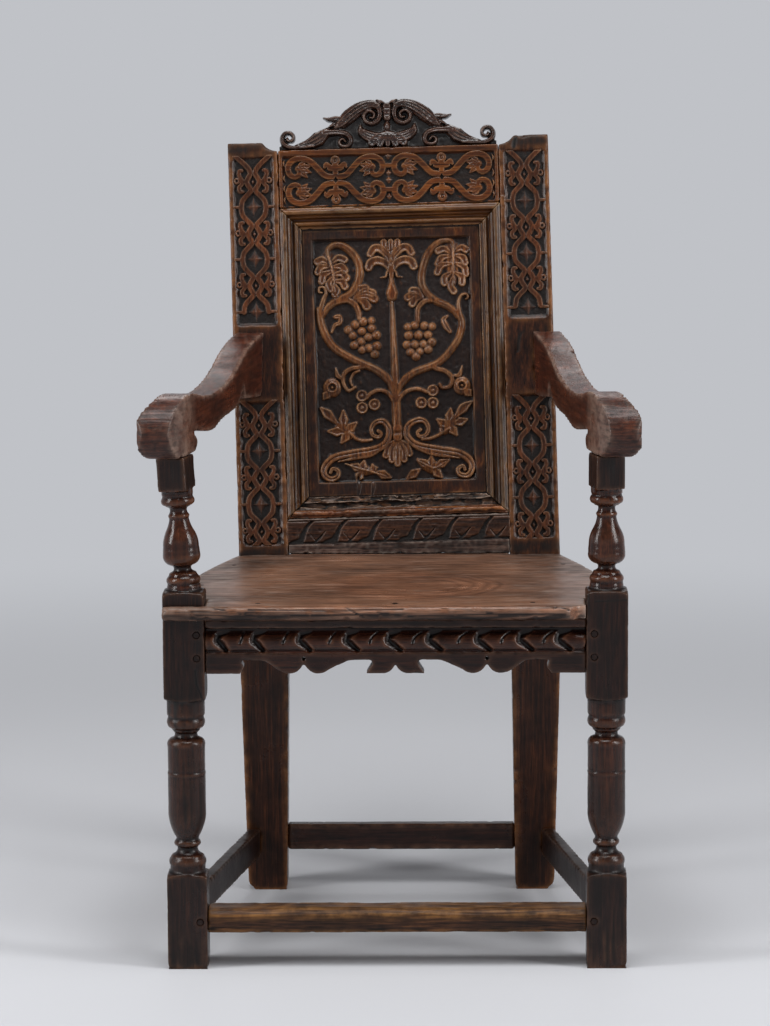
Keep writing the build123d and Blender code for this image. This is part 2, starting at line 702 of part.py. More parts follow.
def side_rail_tenons(side, grow=0.0, extra=0.0):
    z0, z1 = tenon_bottom, tenon_bottom + tenon_height
    half = tenon_thick / 2
    front = tenon_in(side * (side_tenon_front - half), side * (side_tenon_front + half),
                     seat_block - side_tenon_reach - extra, seat_block + 4, z0, z1, grow)
    rear = tenon_in(side * (side_tenon_rear - half), side * (side_tenon_rear + half),
                    seat_depth - 4, seat_depth + side_tenon_reach + extra, z0, z1, grow)
    return front, rear


def side_rail_piece(side):
    shoulder = block(-big, big, seat_block, big, -big, big)
    rail = (side_rail_blank(side) & shoulder) - rear_leg(side) - behind_leg_face
    front, rear = side_rail_tenons(side)
    return rail + front + rear


leg_face = Plane.YZ * make_face(Polyline(
    (seat_depth, seat_height), (seat_depth + rear_foot_kick, 0), (big, 0), (big, seat_height), close=True))
behind_leg_face = extrude(leg_face, big, both=True)

rear_rail_set = 8.0          # front of the rear posts to the face of the rails between them


def rear_rail_tenon(side, grow=0.0, extra=0.0):
    y0 = seat_depth + rear_rail_set + 7
    return tenon_in(side * (stile_inner - 10), side * (stile_inner + tenon_length + extra), y0, y0 + tenon_thick,
                    tenon_bottom, tenon_bottom + tenon_height, grow)


def rear_rail_piece():
    y0 = seat_depth + rear_rail_set
    rail = block(-stile_inner - 20, stile_inner + 20, y0, y0 + rail_thick, rail_bottom, rail_top)
    for side in (-1, 1):
        rail = rail - rear_leg(side)
    rail = rail & block(-stile_inner - 5, stile_inner + 5, -big, big, -big, big)
    return rail + rear_rail_tenon(-1) + rear_rail_tenon(1)


# ---- stretchers ----
def front_stretcher_tenon(side, grow=0.0, extra=0.0):
    z0, z1 = front_stretcher
    inner = front_post_centre - foot_block / 2
    y0 = seat_block / 2 - foot_block / 2 + front_stretcher_setback + 11
    return tenon_in(side * (inner - 3), side * (inner + stretcher_tenon_length + extra),
                    y0, y0 + stretcher_tenon_thick + 1, z0 + stretcher_tenon_cut, z1 - stretcher_tenon_cut, grow)


def front_stretcher_piece():
    z0, z1 = front_stretcher
    half = front_post_centre - foot_block / 2
    y0 = seat_block / 2 - foot_block / 2 + front_stretcher_setback
    y1 = y0 + front_stretcher_depth
    # the top front edge is worn hollow by feet
    section = Plane.YZ * make_face([
        Line((y0, z0), (y0, z1 - 9)),
        ThreePointArc((y0, z1 - 9), (y0 + 5, z1 - 2.6), (y0 + 15, z1)),
        Line((y0 + 15, z1), (y1, z1)),
        Line((y1, z1), (y1, z0)),
        Line((y1, z0), (y0, z0)),
    ])
    bar = extrude(section, half, both=True)
    return bar + front_stretcher_tenon(-1) + front_stretcher_tenon(1)


side_stretcher_front = front_post_centre
side_stretcher_rear = rear_foot_outer - 8.0
side_stretcher_reach = 17.0
foot_rear_face = seat_block / 2 + foot_block / 2


def side_stretcher_tenons(side, grow=0.0, extra=0.0):
    z0, z1 = side_stretcher
    z0, z1 = z0 + stretcher_tenon_cut, z1 - stretcher_tenon_cut
    half = stretcher_tenon_thick / 2
    rear_x = side_stretcher_rear - 2.0
    front = tenon_in(side * (side_stretcher_front - half), side * (side_stretcher_front + half),
                     foot_rear_face - side_stretcher_reach - extra, foot_rear_face + 3, z0, z1, grow)
    rear = tenon_in(side * (rear_x - half), side * (rear_x + half), seat_depth - 1,
                    seat_depth + rear_foot_kick + side_stretcher_reach + extra, z0, z1, grow)
    return front, rear


def side_stretcher_piece(side):
    z0, z1 = side_stretcher
    a = side_stretcher_front
    b = side_stretcher_rear
    half = side_stretcher_thick / 2
    y0, y1 = foot_rear_face, seat_depth
    slope = (b - a) / (y1 - y0)
    over = 30.0
    plan = Plane.XY.offset(z0) * make_face(Polyline(
        (side * (a + half), y0), (side * (a - half), y0),
        (side * (b - half + slope * over), y1 + over), (side * (b + half + slope * over), y1 + over), close=True))
    bar = extrude(plan, z1 - z0) - behind_leg_face
    front, rear = side_stretcher_tenons(side)
    return bar + front + rear


def rear_stretcher_tenon(side, grow=0.0, extra=0.0):
    z0, z1 = rear_stretcher
    y0 = seat_depth + rear_foot_kick + rear_rail_set + 4
    return tenon_in(side * (rear_foot_inner - 6), side * (rear_foot_inner + stretcher_tenon_length + extra),
                    y0, y0 + stretcher_tenon_thick, z0 + stretcher_tenon_cut, z1 - stretcher_tenon_cut, grow)


def rear_stretcher_piece():
    z0, z1 = rear_stretcher
    y0 = seat_depth + rear_foot_kick + rear_rail_set
    bar = block(-stile_outer, stile_outer, y0, y0 + rear_stretcher_thick, z0, z1)
    for side in (-1, 1):
        bar = bar - rear_leg(side)
    bar = bar & block(-rear_foot_inner, rear_foot_inner, -big, big, -big, big)
    return bar + rear_stretcher_tenon(-1) + rear_stretcher_tenon(1)


# ---- arms ----
def arm_plan(side):
    """The arm seen from above: straight from the back to the post, then curling outwards."""
    px, py = support_top(side)
    px = abs(px)
    shoulder = seat_depth + arm_shoulder_back
    slope = (px - arm_rear_centre) / (shoulder - py)
    angle = math.atan(slope)
    half = arm_thick / 2
    nx, ny = math.cos(angle), math.sin(angle)
    ux, uy = math.sin(angle), -math.cos(angle)

    def at(along, across):
        return (side * (px + ux * along + nx * across), py + uy * along + ny * across)

    def curl(across):
        """Start, middle and end of the curled edge at this distance outside the middle line."""
        radius = arm_splay_radius - across
        points = []
        for turn in (0, 16, 32):
            t = math.radians(turn)
            points.append(at(radius * math.sin(t), arm_splay_radius - radius * math.cos(t)))
        return points

    rear = -(shoulder - py) - 80
    inner = curl(-half)
    outer = curl(half)
    return make_face([
        Line(at(rear, -half), inner[0]),
        ThreePointArc(*inner),
        Line(inner[2], outer[2]),
        ThreePointArc(*reversed(outer)),
        Line(outer[0], at(rear, half)),
        Line(at(rear, half), at(rear, -half)),
    ])


def arm_side():
    """The arm seen from the side: the sweep, the down-turned scroll and the lobed lower edge."""
    base = arm_base
    rear_y = seat_depth + arm_blank_back
    front = -arm_front
    post_front = seat_block / 2 - top_block_depth / 2 - 1.5
    post_rear = seat_block / 2 + top_block_depth / 2 + 3.5
    hand = base + arm_hand_rise
    dip = base + arm_dip_rise
    rear_top = base + arm_rear_rise
    ease = seat_depth - arm_ease + 16
    point = seat_depth - arm_point
    return make_face([
        Spline((rear_y, rear_top + 2), (ease + arm_ease, rear_top - 2), (ease, rear_top - 15),
               (ease - arm_sweep + 5, dip + 15), (ease - 2 * arm_sweep + 10, dip + 4),
               (ease - 3 * arm_sweep + 10, dip), (post_rear + 48, hand - 8), (post_rear - 7, hand), (20, hand),
               (-6, hand - 8), (front + 7, hand - 23), (front, hand - 41), (front + 3, base + 19),
               (front + 11, base + 7), (front + 21, base)),
        ThreePointArc((front + 21, base), (post_front - 4.5, base + 2), (post_front - 2.5, base + 9)),
        Line((post_front - 2.5, base + 9), (post_front - 1.2, base + 19)),
        Line((post_front - 1.2, base + 19), (post_front, base)),
        Line((post_front, base), (post_rear, base)),
        Spline((post_rear, base), (post_rear + 19, base + 3), (post_rear + 25, base + 11),
               (post_rear + 16, base + 20), (post_rear + 3, base + 27), tangents=((1, 0), (-1, 0.9))),
        Spline((post_rear + 3, base + 27), (post_rear + 33, base + 23), (post_rear + 73, base + 18),
               (post_rear + 108, base + 15), (point - 137, base + 21), (point - 67, base + 26),
               (point - 22, base + 35), (point, base + arm_point_rise)),
        Line((point, base + arm_point_rise), (point + 12, base + 34)),
        Spline((point + 12, base + 34), (point + 63, base + 29), (rear_y, base + 24)),
        Line((rear_y, base + 24), (rear_y, rear_top + 2)),
    ])


def arm_back_tenon_at(side, grow=0.0, extra=0.0):
    """Tenon at the rear of an arm, in the frame of the back."""
    x = side * arm_rear_centre
    low, high = arm_back_tenon
    half = tenon_thick / 2
    return tenon_in(x - half, x + half, -4, arm_back_tenon_length + extra, low, high, grow)


def arm_piece(side):
    plan = extrude(arm_plan(side), big)
    profile = extrude(Plane.YZ * arm_side(), big, both=True)
    arm = (plan & profile) - behind_back_face
    arm = arm + in_back(arm_back_tenon_at(side))
    return arm - arm_tenon_at(side, fit, mortise_extra)


# ---- pegs: each is (start, end) along its length ----
def front_joint_pegs():
    pegs = []
    for side in (-1, 1):
        x = side * (front_rail_half + tenon_length * 0.42)
        for z in (tenon_bottom + 8, tenon_bottom + tenon_height - 7):
            pegs.append(((x, -peg_proud, z), (x, seat_block - 16, z)))
    return pegs


def side_joint_pegs():
    pegs = []
    for side in (-1, 1):
        outer = front_post_centre + seat_block / 2
        for z in (tenon_bottom + 14, tenon_bottom + tenon_height - 14):
            y = seat_block - side_tenon_reach * 0.5
            pegs.append(((side * (outer + peg_proud), y, z), (side * (outer - 38), y, z)))
            y = seat_depth + side_tenon_reach * 0.52
            pegs.append(((side * (stile_outer + peg_proud), y, z), (side * (stile_outer - 36), y, z)))
    return pegs


def rear_joint_pegs():
    pegs = []
    for side in (-1, 1):
        x = side * (stile_inner + tenon_length * 0.45)
        for z in (tenon_bottom + 7, tenon_bottom + tenon_height - 7):
            y1 = seat_depth + back_depth_at_seat - 2 + peg_proud
            pegs.append(((x, y1, z), (x, seat_depth + 12, z)))
    return pegs


def stretcher_pegs():
    pegs = []
    z = (front_stretcher[0] + front_stretcher[1]) / 2
    side_z = (side_stretcher[0] + side_stretcher[1]) / 2
    rear_z = (rear_stretcher[0] + rear_stretcher[1]) / 2
    foot_front = seat_block / 2 - foot_block / 2
    for side in (-1, 1):
        x = side * (front_post_centre - foot_block / 2 + stretcher_tenon_length * 0.45)
        pegs.append(((x, foot_front - peg_proud, z), (x, foot_front + foot_peg_length, z)))
        outer = front_post_centre + foot_block / 2
        y = foot_rear_face - side_stretcher_reach * 0.5
        pegs.append(((side * (outer + peg_proud), y, side_z), (side * (outer - side_peg_length), y, side_z)))
        y = seat_depth + rear_foot_kick + side_stretcher_reach * 0.5
        pegs.append(((side * (rear_foot_outer + 2.5), y, side_z),
                     (side * (rear_foot_outer - rear_peg_length), y, side_z)))
        x = side * (rear_foot_inner + stretcher_tenon_length * 0.4)
        y = seat_depth + rear_foot_kick + stile_thick - 1 + peg_proud
        pegs.append(((x, y, rear_z), (x, y - 36, rear_z)))
    return pegs


def back_joint_pegs():
    """Driven from behind, so that they don't cut into the carving. In the frame of the back."""
    pegs = []
    start = stile_thick + peg_proud
    for side in (-1, 1):
        x = side * (stile_inner + rail_tenon_length * 0.45)
        for h in (top_tenon[0] + 12, top_tenon[1] - 12):
            pegs.append(((x, start, h), (x, ground_depth + 4, h)))
        h = (lower_tenon[0] + lower_tenon[1]) / 2
        pegs.append(((x, start, h), (x, ground_depth + 4, h)))
    return pegs


def arm_back_pegs():
    """Through the outside of the rear post and the arm's tenon. In the frame of the back."""
    pegs = []
    for side in (-1, 1):
        low, high = arm_back_tenon
        y = arm_back_tenon_length * 0.55
        for h in (low + 15, high - 15):
            pegs.append(((side * (stile_outer + peg_proud), y, h), (side * (stile_outer - 45), y, h)))
    return pegs


def arm_post_peg(side, grow=0.0, extra=0.0):
    """Across the arm and through the tenon of its support."""
    x, y = support_top(side)
    reach = arm_thick / 2 - 3
    pin = round_pin((-side * reach, 0, arm_tenon_height * 0.5),
                    (side * (reach + extra), 0, arm_tenon_height * 0.5), peg_radius + grow)
    return Pos(x, y, arm_base) * Rot(0, 0, side * top_block_turn) * pin


def pegs_from(lines, extend=0.0, grow=0.0):
    """Pegs along the given lines, or with extend and grow their holes."""
    pegs = []
    for start, end in lines:
        a = Vector(*start)
        b = Vector(*end)
        along = (b - a).normalized()
        first = a - along * extend
        last = b + along * extend
        pegs.append(round_pin(tuple(first), tuple(last), peg_radius + grow))
    return pegs


def cut(shape, tools):
    for tool in tools:
        shape = shape - tool
    return shape


# ---- the pieces ----
sides = {"left": -1, "right": 1}
nodes = {}

seat_peg_holes = pegs_from(front_joint_pegs() + side_joint_pegs() + rear_joint_pegs(), 1.0, peg_play)
stretcher_peg_holes = pegs_from(stretcher_pegs(), 1.0, peg_play)
back_peg_holes = [in_back(p) for p in pegs_from(back_joint_pegs() + arm_back_pegs(), 1.0, peg_play)]
dowel_holes = [crest_dowel(side, peg_play, mortise_extra) for side in (-1, 1)]
pin_holes = seat_pins(peg_play, 0.5)

for name, side in sides.items():
    post = front_post(side)
    post = post - front_rail_tenon(side, fit, mortise_extra)
    post = post - side_rail_tenons(side, fit, mortise_extra)[0]
    post = post - front_stretcher_tenon(side, fit, mortise_extra)
    post = post - side_stretcher_tenons(side, fit, mortise_extra)[0]
    post = cut(post, seat_peg_holes + stretcher_peg_holes)
    nodes["front_post_" + name] = post - arm_post_peg(side, peg_play, 1.0)

    post = rear_post(side)
    post = post - side_rail_tenons(side, fit, mortise_extra)[1]
    post = post - rear_rail_tenon(side, fit, mortise_extra)
    post = post - side_stretcher_tenons(side, fit, mortise_extra)[1]
    post = post - rear_stretcher_tenon(side, fit, mortise_extra)
    post = post - in_back(back_rail_tenon(side, *top_tenon, grow=fit, extra=mortise_extra))
    post = post - in_back(back_rail_tenon(side, *lower_tenon, grow=fit, extra=mortise_extra))
    post = post - in_back(arm_back_tenon_at(side, fit, mortise_extra))
    nodes["rear_post_" + name] = cut(post, seat_peg_holes + stretcher_peg_holes + back_peg_holes)

    nodes["side_seat_rail_" + name] = cut(side_rail_piece(side), seat_peg_holes + pin_holes)
    nodes["side_stretcher_" + name] = cut(side_stretcher_piece(side), stretcher_peg_holes)
    arm = cut(arm_piece(side), back_peg_holes)
    nodes["arm_" + name] = arm - arm_post_peg(side, peg_play, 1.0)

nodes["front_seat_rail"] = cut(front_rail_piece(), seat_peg_holes + pin_holes)
nodes["rear_seat_rail"] = cut(rear_rail_piece(), seat_peg_holes)
nodes["front_stretcher"] = cut(front_stretcher_piece(), stretcher_peg_holes)
nodes["rear_stretcher"] = cut(rear_stretcher_piece(), stretcher_peg_holes)
nodes["seat_board"] = cut(seat_board_piece(), pin_holes)
nodes["top_rail"] = cut(in_back(cut(top_rail_piece(), dowel_holes)), back_peg_holes)
nodes["lower_back_rail"] = cut(lower_rail_piece(), back_peg_holes)
nodes["back_panel"] = in_back(panel_piece())
for edge in ("top", "bottom", "left", "right"):
    nodes["panel_moulding_" + edge] = in_back(moulding_piece(edge))
nodes["crest"] = in_back(cut(crest_piece(), dowel_holes))
nodes["crest_dowels"] = Compound([in_back(crest_dowel(side)) for side in (-1, 1)])
nodes["seat_rail_pegs"] = Compound(pegs_from(front_joint_pegs() + side_joint_pegs() + rear_joint_pegs()))
nodes["stretcher_pegs"] = Compound(pegs_from(stretcher_pegs()))
nodes["back_rail_pegs"] = Compound([in_back(p) for p in pegs_from(back_joint_pegs())])
nodes["arm_pegs"] = Compound([in_back(p) for p in pegs_from(arm_back_pegs())]
                             + [arm_post_peg(side) for side in (-1, 1)])
nodes["seat_board_pins"] = Compound(seat_pins())

# ---- origin: middle of the footprint, on the floor ----
whole = Compound(list(nodes.values())).bounding_box()
to_origin = Pos(-whole.center().X, -whole.center().Y, -whole.min.Z)

os.makedirs("parts", exist_ok=True)
for name, shape in nodes.items():
    export_step(to_origin * shape, "parts/" + name + ".step")
print("size", [round(v, 1) for v in whole.size], "origin moved by", [round(v, 2) for v in to_origin.position])
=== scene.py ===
import bpy
import bmesh
import json
import math
import numpy as np
from mathutils import Matrix, Vector, noise


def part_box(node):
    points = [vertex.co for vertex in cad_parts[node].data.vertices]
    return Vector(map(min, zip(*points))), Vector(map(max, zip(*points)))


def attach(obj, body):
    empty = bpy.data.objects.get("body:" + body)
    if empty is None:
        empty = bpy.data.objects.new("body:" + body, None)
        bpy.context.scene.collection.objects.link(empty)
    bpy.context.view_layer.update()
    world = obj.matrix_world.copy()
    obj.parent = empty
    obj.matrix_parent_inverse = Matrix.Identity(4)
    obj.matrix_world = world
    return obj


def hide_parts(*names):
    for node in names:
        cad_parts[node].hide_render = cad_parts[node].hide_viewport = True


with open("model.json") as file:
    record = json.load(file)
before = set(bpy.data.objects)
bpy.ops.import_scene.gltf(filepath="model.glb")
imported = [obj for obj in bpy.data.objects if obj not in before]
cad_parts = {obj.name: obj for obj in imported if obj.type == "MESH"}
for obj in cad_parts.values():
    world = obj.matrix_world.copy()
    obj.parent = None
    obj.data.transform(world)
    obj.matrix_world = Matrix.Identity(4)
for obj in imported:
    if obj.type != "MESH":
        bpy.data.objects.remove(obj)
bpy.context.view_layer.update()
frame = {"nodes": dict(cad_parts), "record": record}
mm = 0.001

# where the chair stands: X = 0 is the middle of the seat, Y = 0 the front of the front posts
chair = {"nose": 16, "seatHeight": 460, "seatDepth": 414, "rake": 9.15, "lean": 1.4}   # mm and degrees
seatLow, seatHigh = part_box("seat_board")
chairOrigin = Vector(((seatLow.x + seatHigh.x) / 2, seatLow.y + chair["nose"] * mm, 0))
standMatrix = Matrix.Translation(chairOrigin)
backFoot = chairOrigin + Vector((0, chair["seatDepth"] * mm, chair["seatHeight"] * mm))
backMatrix = (Matrix.Translation(backFoot) @ Matrix.Rotation(math.radians(-chair["rake"]), 4, "X")
              @ Matrix.Rotation(math.radians(-chair["lean"]), 4, "Y"))
# carvings are drawn flat, in mm: x across, y up the back, z towards the sitter
carvingMatrix = backMatrix @ Matrix.Rotation(math.radians(90), 4, "X")
print("frame loaded")


# materials
def linearColour(hexText):
    channels = [int(hexText[i:i + 2], 16) / 255 for i in (0, 2, 4)]
    return [c / 12.92 if c <= 0.04045 else ((c + 0.055) / 1.055) ** 2.4 for c in channels] + [1.0]


def addNode(tree, kind, settings=None, inputs=None):
    # settings are the node's own properties; an input is a value, or a (node, output) pair to link
    node = tree.nodes.new("ShaderNode" + kind)
    for key, value in (settings or {}).items():
        setattr(node, key, value)
    for key, value in (inputs or {}).items():
        if isinstance(value, tuple) and isinstance(value[0], bpy.types.Node):
            tree.links.new(value[0].outputs[value[1]], node.inputs[key])
        else:
            node.inputs[key].default_value = value
    return node


def setRamp(node, stops):
    ramp = node.color_ramp
    while len(ramp.elements) < len(stops):
        ramp.elements.new(0.5)
    for element, (place, colour) in zip(ramp.elements, stops):
        element.position = place
        element.color = linearColour(colour)


def emptyTree(owner):
    owner.use_nodes = True
    owner.node_tree.nodes.clear()
    return owner.node_tree


# riven and sawn oak, stained by four centuries of wax and smoke: long pores run along the grain,
# what the mesh marks as deep goes nearly black, dirt and in places painted shade, and hands have rubbed the
# high parts back to brown
def oakMaterial(name, grain, dark, mid, light, wornAndHighlight, roughness, wornAmount=0.7, patchiness=0.5,
                dirt="060403", grainDepth=0.35, gloss=0.3, layers=None, patchesPerMetre=14.0):
    material = bpy.data.materials.new(name)
    tree = emptyTree(material)
    ringScale = [11 if axis == grain else 285 for axis in "XYZ"]     # rings 3.5 mm apart, drawn out to 90 mm
    if layers:                                       # growth layers that lie flat, one on another
        ringScale = [285 if axis == layers else 11 if axis == grain else 60 for axis in "XYZ"]
    poreScale = [45 if axis == grain else 900 for axis in "XYZ"]     # pores 1.1 mm across and 22 mm long
    place = addNode(tree, "TexCoord")
    figure, pore = [addNode(tree, "Mapping", inputs={"Vector": (place, "Object"), "Scale": scale})
                    for scale in (ringScale, poreScale)]
    rings = addNode(tree, "TexNoise", inputs={
        "Vector": (figure, "Vector"), "Scale": 1.0, "Detail": 5.0, "Roughness": 0.62, "Distortion": 0.6})
    pores = addNode(tree, "TexNoise", inputs={
        "Vector": (pore, "Vector"), "Scale": 1.0, "Detail": 2.0, "Roughness": 0.55})
    patches = addNode(tree, "TexNoise", inputs={
        "Vector": (place, "Object"), "Scale": patchesPerMetre, "Detail": 6.0, "Roughness": 0.6})
    breaks = addNode(tree, "TexNoise", inputs={             # 18 mm from one break to the next
        "Vector": (place, "Object"), "Scale": 55.0, "Detail": 4.0, "Roughness": 0.6})
    # how far each noise is spread: from, to, least, most
    spreads = {"pore": (pores, 0.36, 0.5, 0.45, 1.0),
               "patch": (patches, 0.3, 0.68, 1.0 - patchiness * 0.6, 1.0 + patchiness * 0.5),
               "break": (breaks, 0.35, 0.62, 0.15, wornAmount),
               "rough": (patches, 0.3, 0.7, roughness + 0.08, roughness - 0.07)}
    masks = {key: addNode(tree, "MapRange", inputs={
        "Value": (source, "Fac"), "From Min": low, "From Max": high, "To Min": least, "To Max": most})
        for key, (source, low, high, least, most) in spreads.items()}
    ramp = addNode(tree, "ValToRGB", inputs={"Fac": (rings, "Fac")})
    setRamp(ramp, [(0.3, dark), (0.5, mid), (0.72, light)])
    shade = addNode(tree, "Math", {"operation": "MULTIPLY"}, {
        0: (masks["pore"], "Result"), 1: (masks["patch"], "Result")})
    grey = addNode(tree, "CombineColor", inputs={
        "Red": (shade, "Value"), "Green": (shade, "Value"), "Blue": (shade, "Value")})
    wood = addNode(tree, "Mix", {"data_type": "RGBA", "blend_type": "MULTIPLY"}, {
        "Factor": 1.0, 6: (ramp, "Color"), 7: (grey, "Color")})
    # the mesh carries how far each point stands out; how deep it lies, which also holds painted shade; and
    # how far hands and the lathe have polished it, which also holds painted sheen and highlight
    edge, hollow, polish_and_sheen = [addNode(tree, "Attribute", {"attribute_name": kind})
                            for kind in ("edge", "hollow", "polish_and_sheen")]
    edgeAmount = addNode(tree, "Math", {"operation": "MULTIPLY", "use_clamp": True}, {
        0: (edge, "Fac"), 1: (masks["break"], "Result")})
    # the worn colour: wear on rubbed edges, and on the carvings' flanks and the worn moulding also a painted
    # highlight
    rubbed = addNode(tree, "Mix", {"data_type": "RGBA"}, {
        "Factor": (edgeAmount, "Value"), 6: (wood, 2), 7: linearColour(wornAndHighlight)})
    warmed = addNode(tree, "Mix", {"data_type": "RGBA", "blend_type": "MULTIPLY"}, {
        "Factor": (polish_and_sheen, "Fac"), 6: (rubbed, 2), 7: (2.0, 1.6, 1.35, 1)})     # polished wood is redder; the same brightening paints the sheen in the middle of the seat and the highlights on the grapes
    # the dark mix colour stands for dirt, and in places for painted shade: on the seat's front and ends, on
    # the heads of the back posts and in the cracks
    dirtyAndShaded = addNode(tree, "Mix", {"data_type": "RGBA"}, {
        "Factor": (hollow, "Fac"), 6: (warmed, 2), 7: linearColour(dirt)})
    roughPolish = addNode(tree, "Math", {"operation": "MULTIPLY_ADD"}, {
        0: (polish_and_sheen, "Fac"), 1: -0.13, 2: (masks["rough"], "Result")})
    roughWhereDark = addNode(tree, "Math", {"operation": "MULTIPLY_ADD", "use_clamp": True}, {
        0: (hollow, "Fac"), 1: 0.25, 2: (roughPolish, "Value")})
    relief = addNode(tree, "Math", {"operation": "MULTIPLY_ADD"}, {
        0: (pores, "Fac"), 1: 0.5, 2: (rings, "Fac")})
    bump = addNode(tree, "Bump", inputs={
        "Strength": grainDepth, "Distance": 0.0006, "Height": (relief, "Value")})
    shader = addNode(tree, "BsdfPrincipled", inputs={
        "Base Color": (dirtyAndShaded, 2), "Roughness": (roughWhereDark, "Value"), "Normal": (bump, "Normal"),
        "IOR": 1.45, "Specular IOR Level": gloss})
    addNode(tree, "OutputMaterial", inputs={"Surface": (shader, "BSDF")})
    return material


# grain, then the dark, middle, light and worn colours (the worn colour also paints highlights on some flanks
# and edges), the roughness, and what else sets it apart
finishes = {
    "smoked_oak_upright": ("Z", "0c0504", "1e0e0a", "341c12", "6a4a36", 0.3,
                           dict(patchiness=0.9, gloss=0.36)),
    "smoked_oak_cross": ("X", "0e0504", "22100b", "3a1f15", "6e4f3c", 0.3,
                         dict(patchiness=0.9, gloss=0.36)),
    "smoked_oak_side": ("Y", "0e0504", "1c0d09", "2e1810", "5c4130", 0.38, {}),
    "back_post_oak": ("Z", "100604", "2c150b", "4e2a16", "8a5a34", 0.3, dict(patchiness=1.1)),
    "top_rail_oak": ("X", "180905", "3a1b0d", "5e3318", "8e5a2c", 0.3, dict(patchiness=0.8)),
    "stretcher_oak": ("X", "150a06", "372013", "5a3920", "94683a", 0.42,
                      dict(patchiness=1.0, grainDepth=0.7)),
    "arm_oak": ("Y", "240d07", "431d10", "63331f", "927a6c", 0.31,
                dict(patchiness=0.7, gloss=0.4, layers="Z")),
    "seat_oak": ("X", "3a2416", "76523e", "98715a", "ab9a8e", 0.32, dict(
        patchiness=0.9, gloss=0.42, grainDepth=0.5, patchesPerMetre=9.0, dirt="170c08")),
    "panel_oak": ("Z", "241108", "542d14", "80522c", "a5805e", 0.26, dict(
        wornAmount=0.75, patchiness=0.8, dirt="0b0302")),
    "rail_carving_oak": ("X", "1c0c05", "4a2510", "6d3f1b", "99714c", 0.28, dict(patchiness=0.8)),
    "post_carving_oak": ("Z", "1a0b06", "40200f", "613720", "8c6a50", 0.3, dict(patchiness=0.9)),
    "foot_carving_oak": ("X", "100705", "2c180f", "52301c", "8a6a58", 0.36,
                         dict(patchiness=1.2, grainDepth=0.8)),
    "moulding_oak_cross": ("X", "200e06", "4a2810", "7a4c1e", "b08a62", 0.3, dict(patchiness=0.9)),
    "moulding_oak_upright": ("Z", "190a05", "381e0c", "66401b", "b08f6c", 0.3, dict(patchiness=1.2)),
    "moulding_oak_foot": ("X", "140906", "3c2112", "73491f", "a89484", 0.36, dict(
        grainDepth=0.8, patchiness=1.1, patchesPerMetre=24.0)),
    "worn_oak": ("X", "120907", "33211a", "5f4a40", "a8998e", 0.46, dict(
        grainDepth=0.9, patchiness=1.2, patchesPerMetre=30.0)),
    "crest_oak": ("X", "0e0604", "25120b", "452617", "8a7264", 0.24, dict(
        wornAmount=0.8, patchiness=0.8, gloss=0.5)),
    "peg_oak": ("Y", "0c0504", "1c0e09", "2c1810", "5c4130", 0.45, {}),
}
oak = {name: oakMaterial(name, *look, **extra) for name, (*look, extra) in finishes.items()}
print("materials made:", len(oak))


# shaping helpers
def pointsOf(mesh):
    # where each point is, and which way it faces
    places = np.empty(len(mesh.vertices) * 3)
    normals = np.empty(len(mesh.vertices) * 3)
    mesh.vertices.foreach_get("co", places)
    mesh.vertices.foreach_get("normal", normals)
    return places.reshape(-1, 3), normals.reshape(-1, 3)


def setPlaces(mesh, places):
    mesh.vertices.foreach_set("co", places.ravel())
    mesh.update()


def standsOut(mesh, steps):
    # how far each point stands out of its surroundings, in mm
    places, normals = pointsOf(mesh)
    edges = np.empty(len(mesh.edges) * 2, int)
    mesh.edges.foreach_get("vertices", edges)
    edges = edges.reshape(-1, 2)
    count = np.maximum(np.bincount(edges.ravel(), minlength=len(places)), 1).astype(float)

    def around(values):
        return (np.bincount(edges[:, 0], values[edges[:, 1]], len(places))
                + np.bincount(edges[:, 1], values[edges[:, 0]], len(places))) / count

    mean = places
    for _ in range(steps):
        mean = np.stack([around(mean[:, k]) for k in range(3)], 1)
    stands = ((places - mean) * normals).sum(1) / mm
    for _ in range(2):
        stands = (stands + around(stands)) / 2
    return stands


def storeAttribute(mesh, name, values):
    attribute = mesh.attributes.get(name) or mesh.attributes.new(name, "FLOAT", "POINT")
    attribute.data.foreach_set("value", np.clip(values, 0, 1))


def pieceFrom(name, bm):
    mesh = bpy.data.meshes.new(name)
    bm.to_mesh(mesh)
    bm.free()
    piece = bpy.data.objects.new(name, mesh)
    bpy.context.scene.collection.objects.link(piece)
    return piece


def shadeSmooth(mesh):
    mesh.polygons.foreach_set("use_smooth", [True] * len(mesh.polygons))


def remake(piece, cell, rounds):
    # builds the mesh again from cells of one size in mm, and softens it
    even = piece.modifiers.new("even", "REMESH")
    even.mode = "VOXEL"
    even.voxel_size = cell * mm
    soften = piece.modifiers.new("soften", "SMOOTH")
    soften.factor = 0.5
    soften.iterations = rounds
    bpy.context.view_layer.update()
    piece.data = bpy.data.meshes.new_from_object(piece.evaluated_get(bpy.context.evaluated_depsgraph_get()))
    piece.modifiers.clear()
    return piece.data


def finishPiece(piece, material, slotName, *nodes):
    piece.data.materials.clear()
    piece.data.materials.append(oak[material])
    shadeSmooth(piece.data)
    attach(piece, "root")
    if nodes:
        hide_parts(*nodes)
    print(piece.name, len(piece.data.polygons))


def waves(places, seed, sizes):
    # slow unevenness in mm, from (wave length, depth) pairs
    shift = Vector((seed * 1.7, seed * 0.9, seed * 2.3))
    total = np.zeros(len(places))
    for length, depth in sizes:
        factor = 1 / (length * mm)
        total += depth * np.array([noise.noise(Vector(p) * factor + shift) for p in places])
    return total


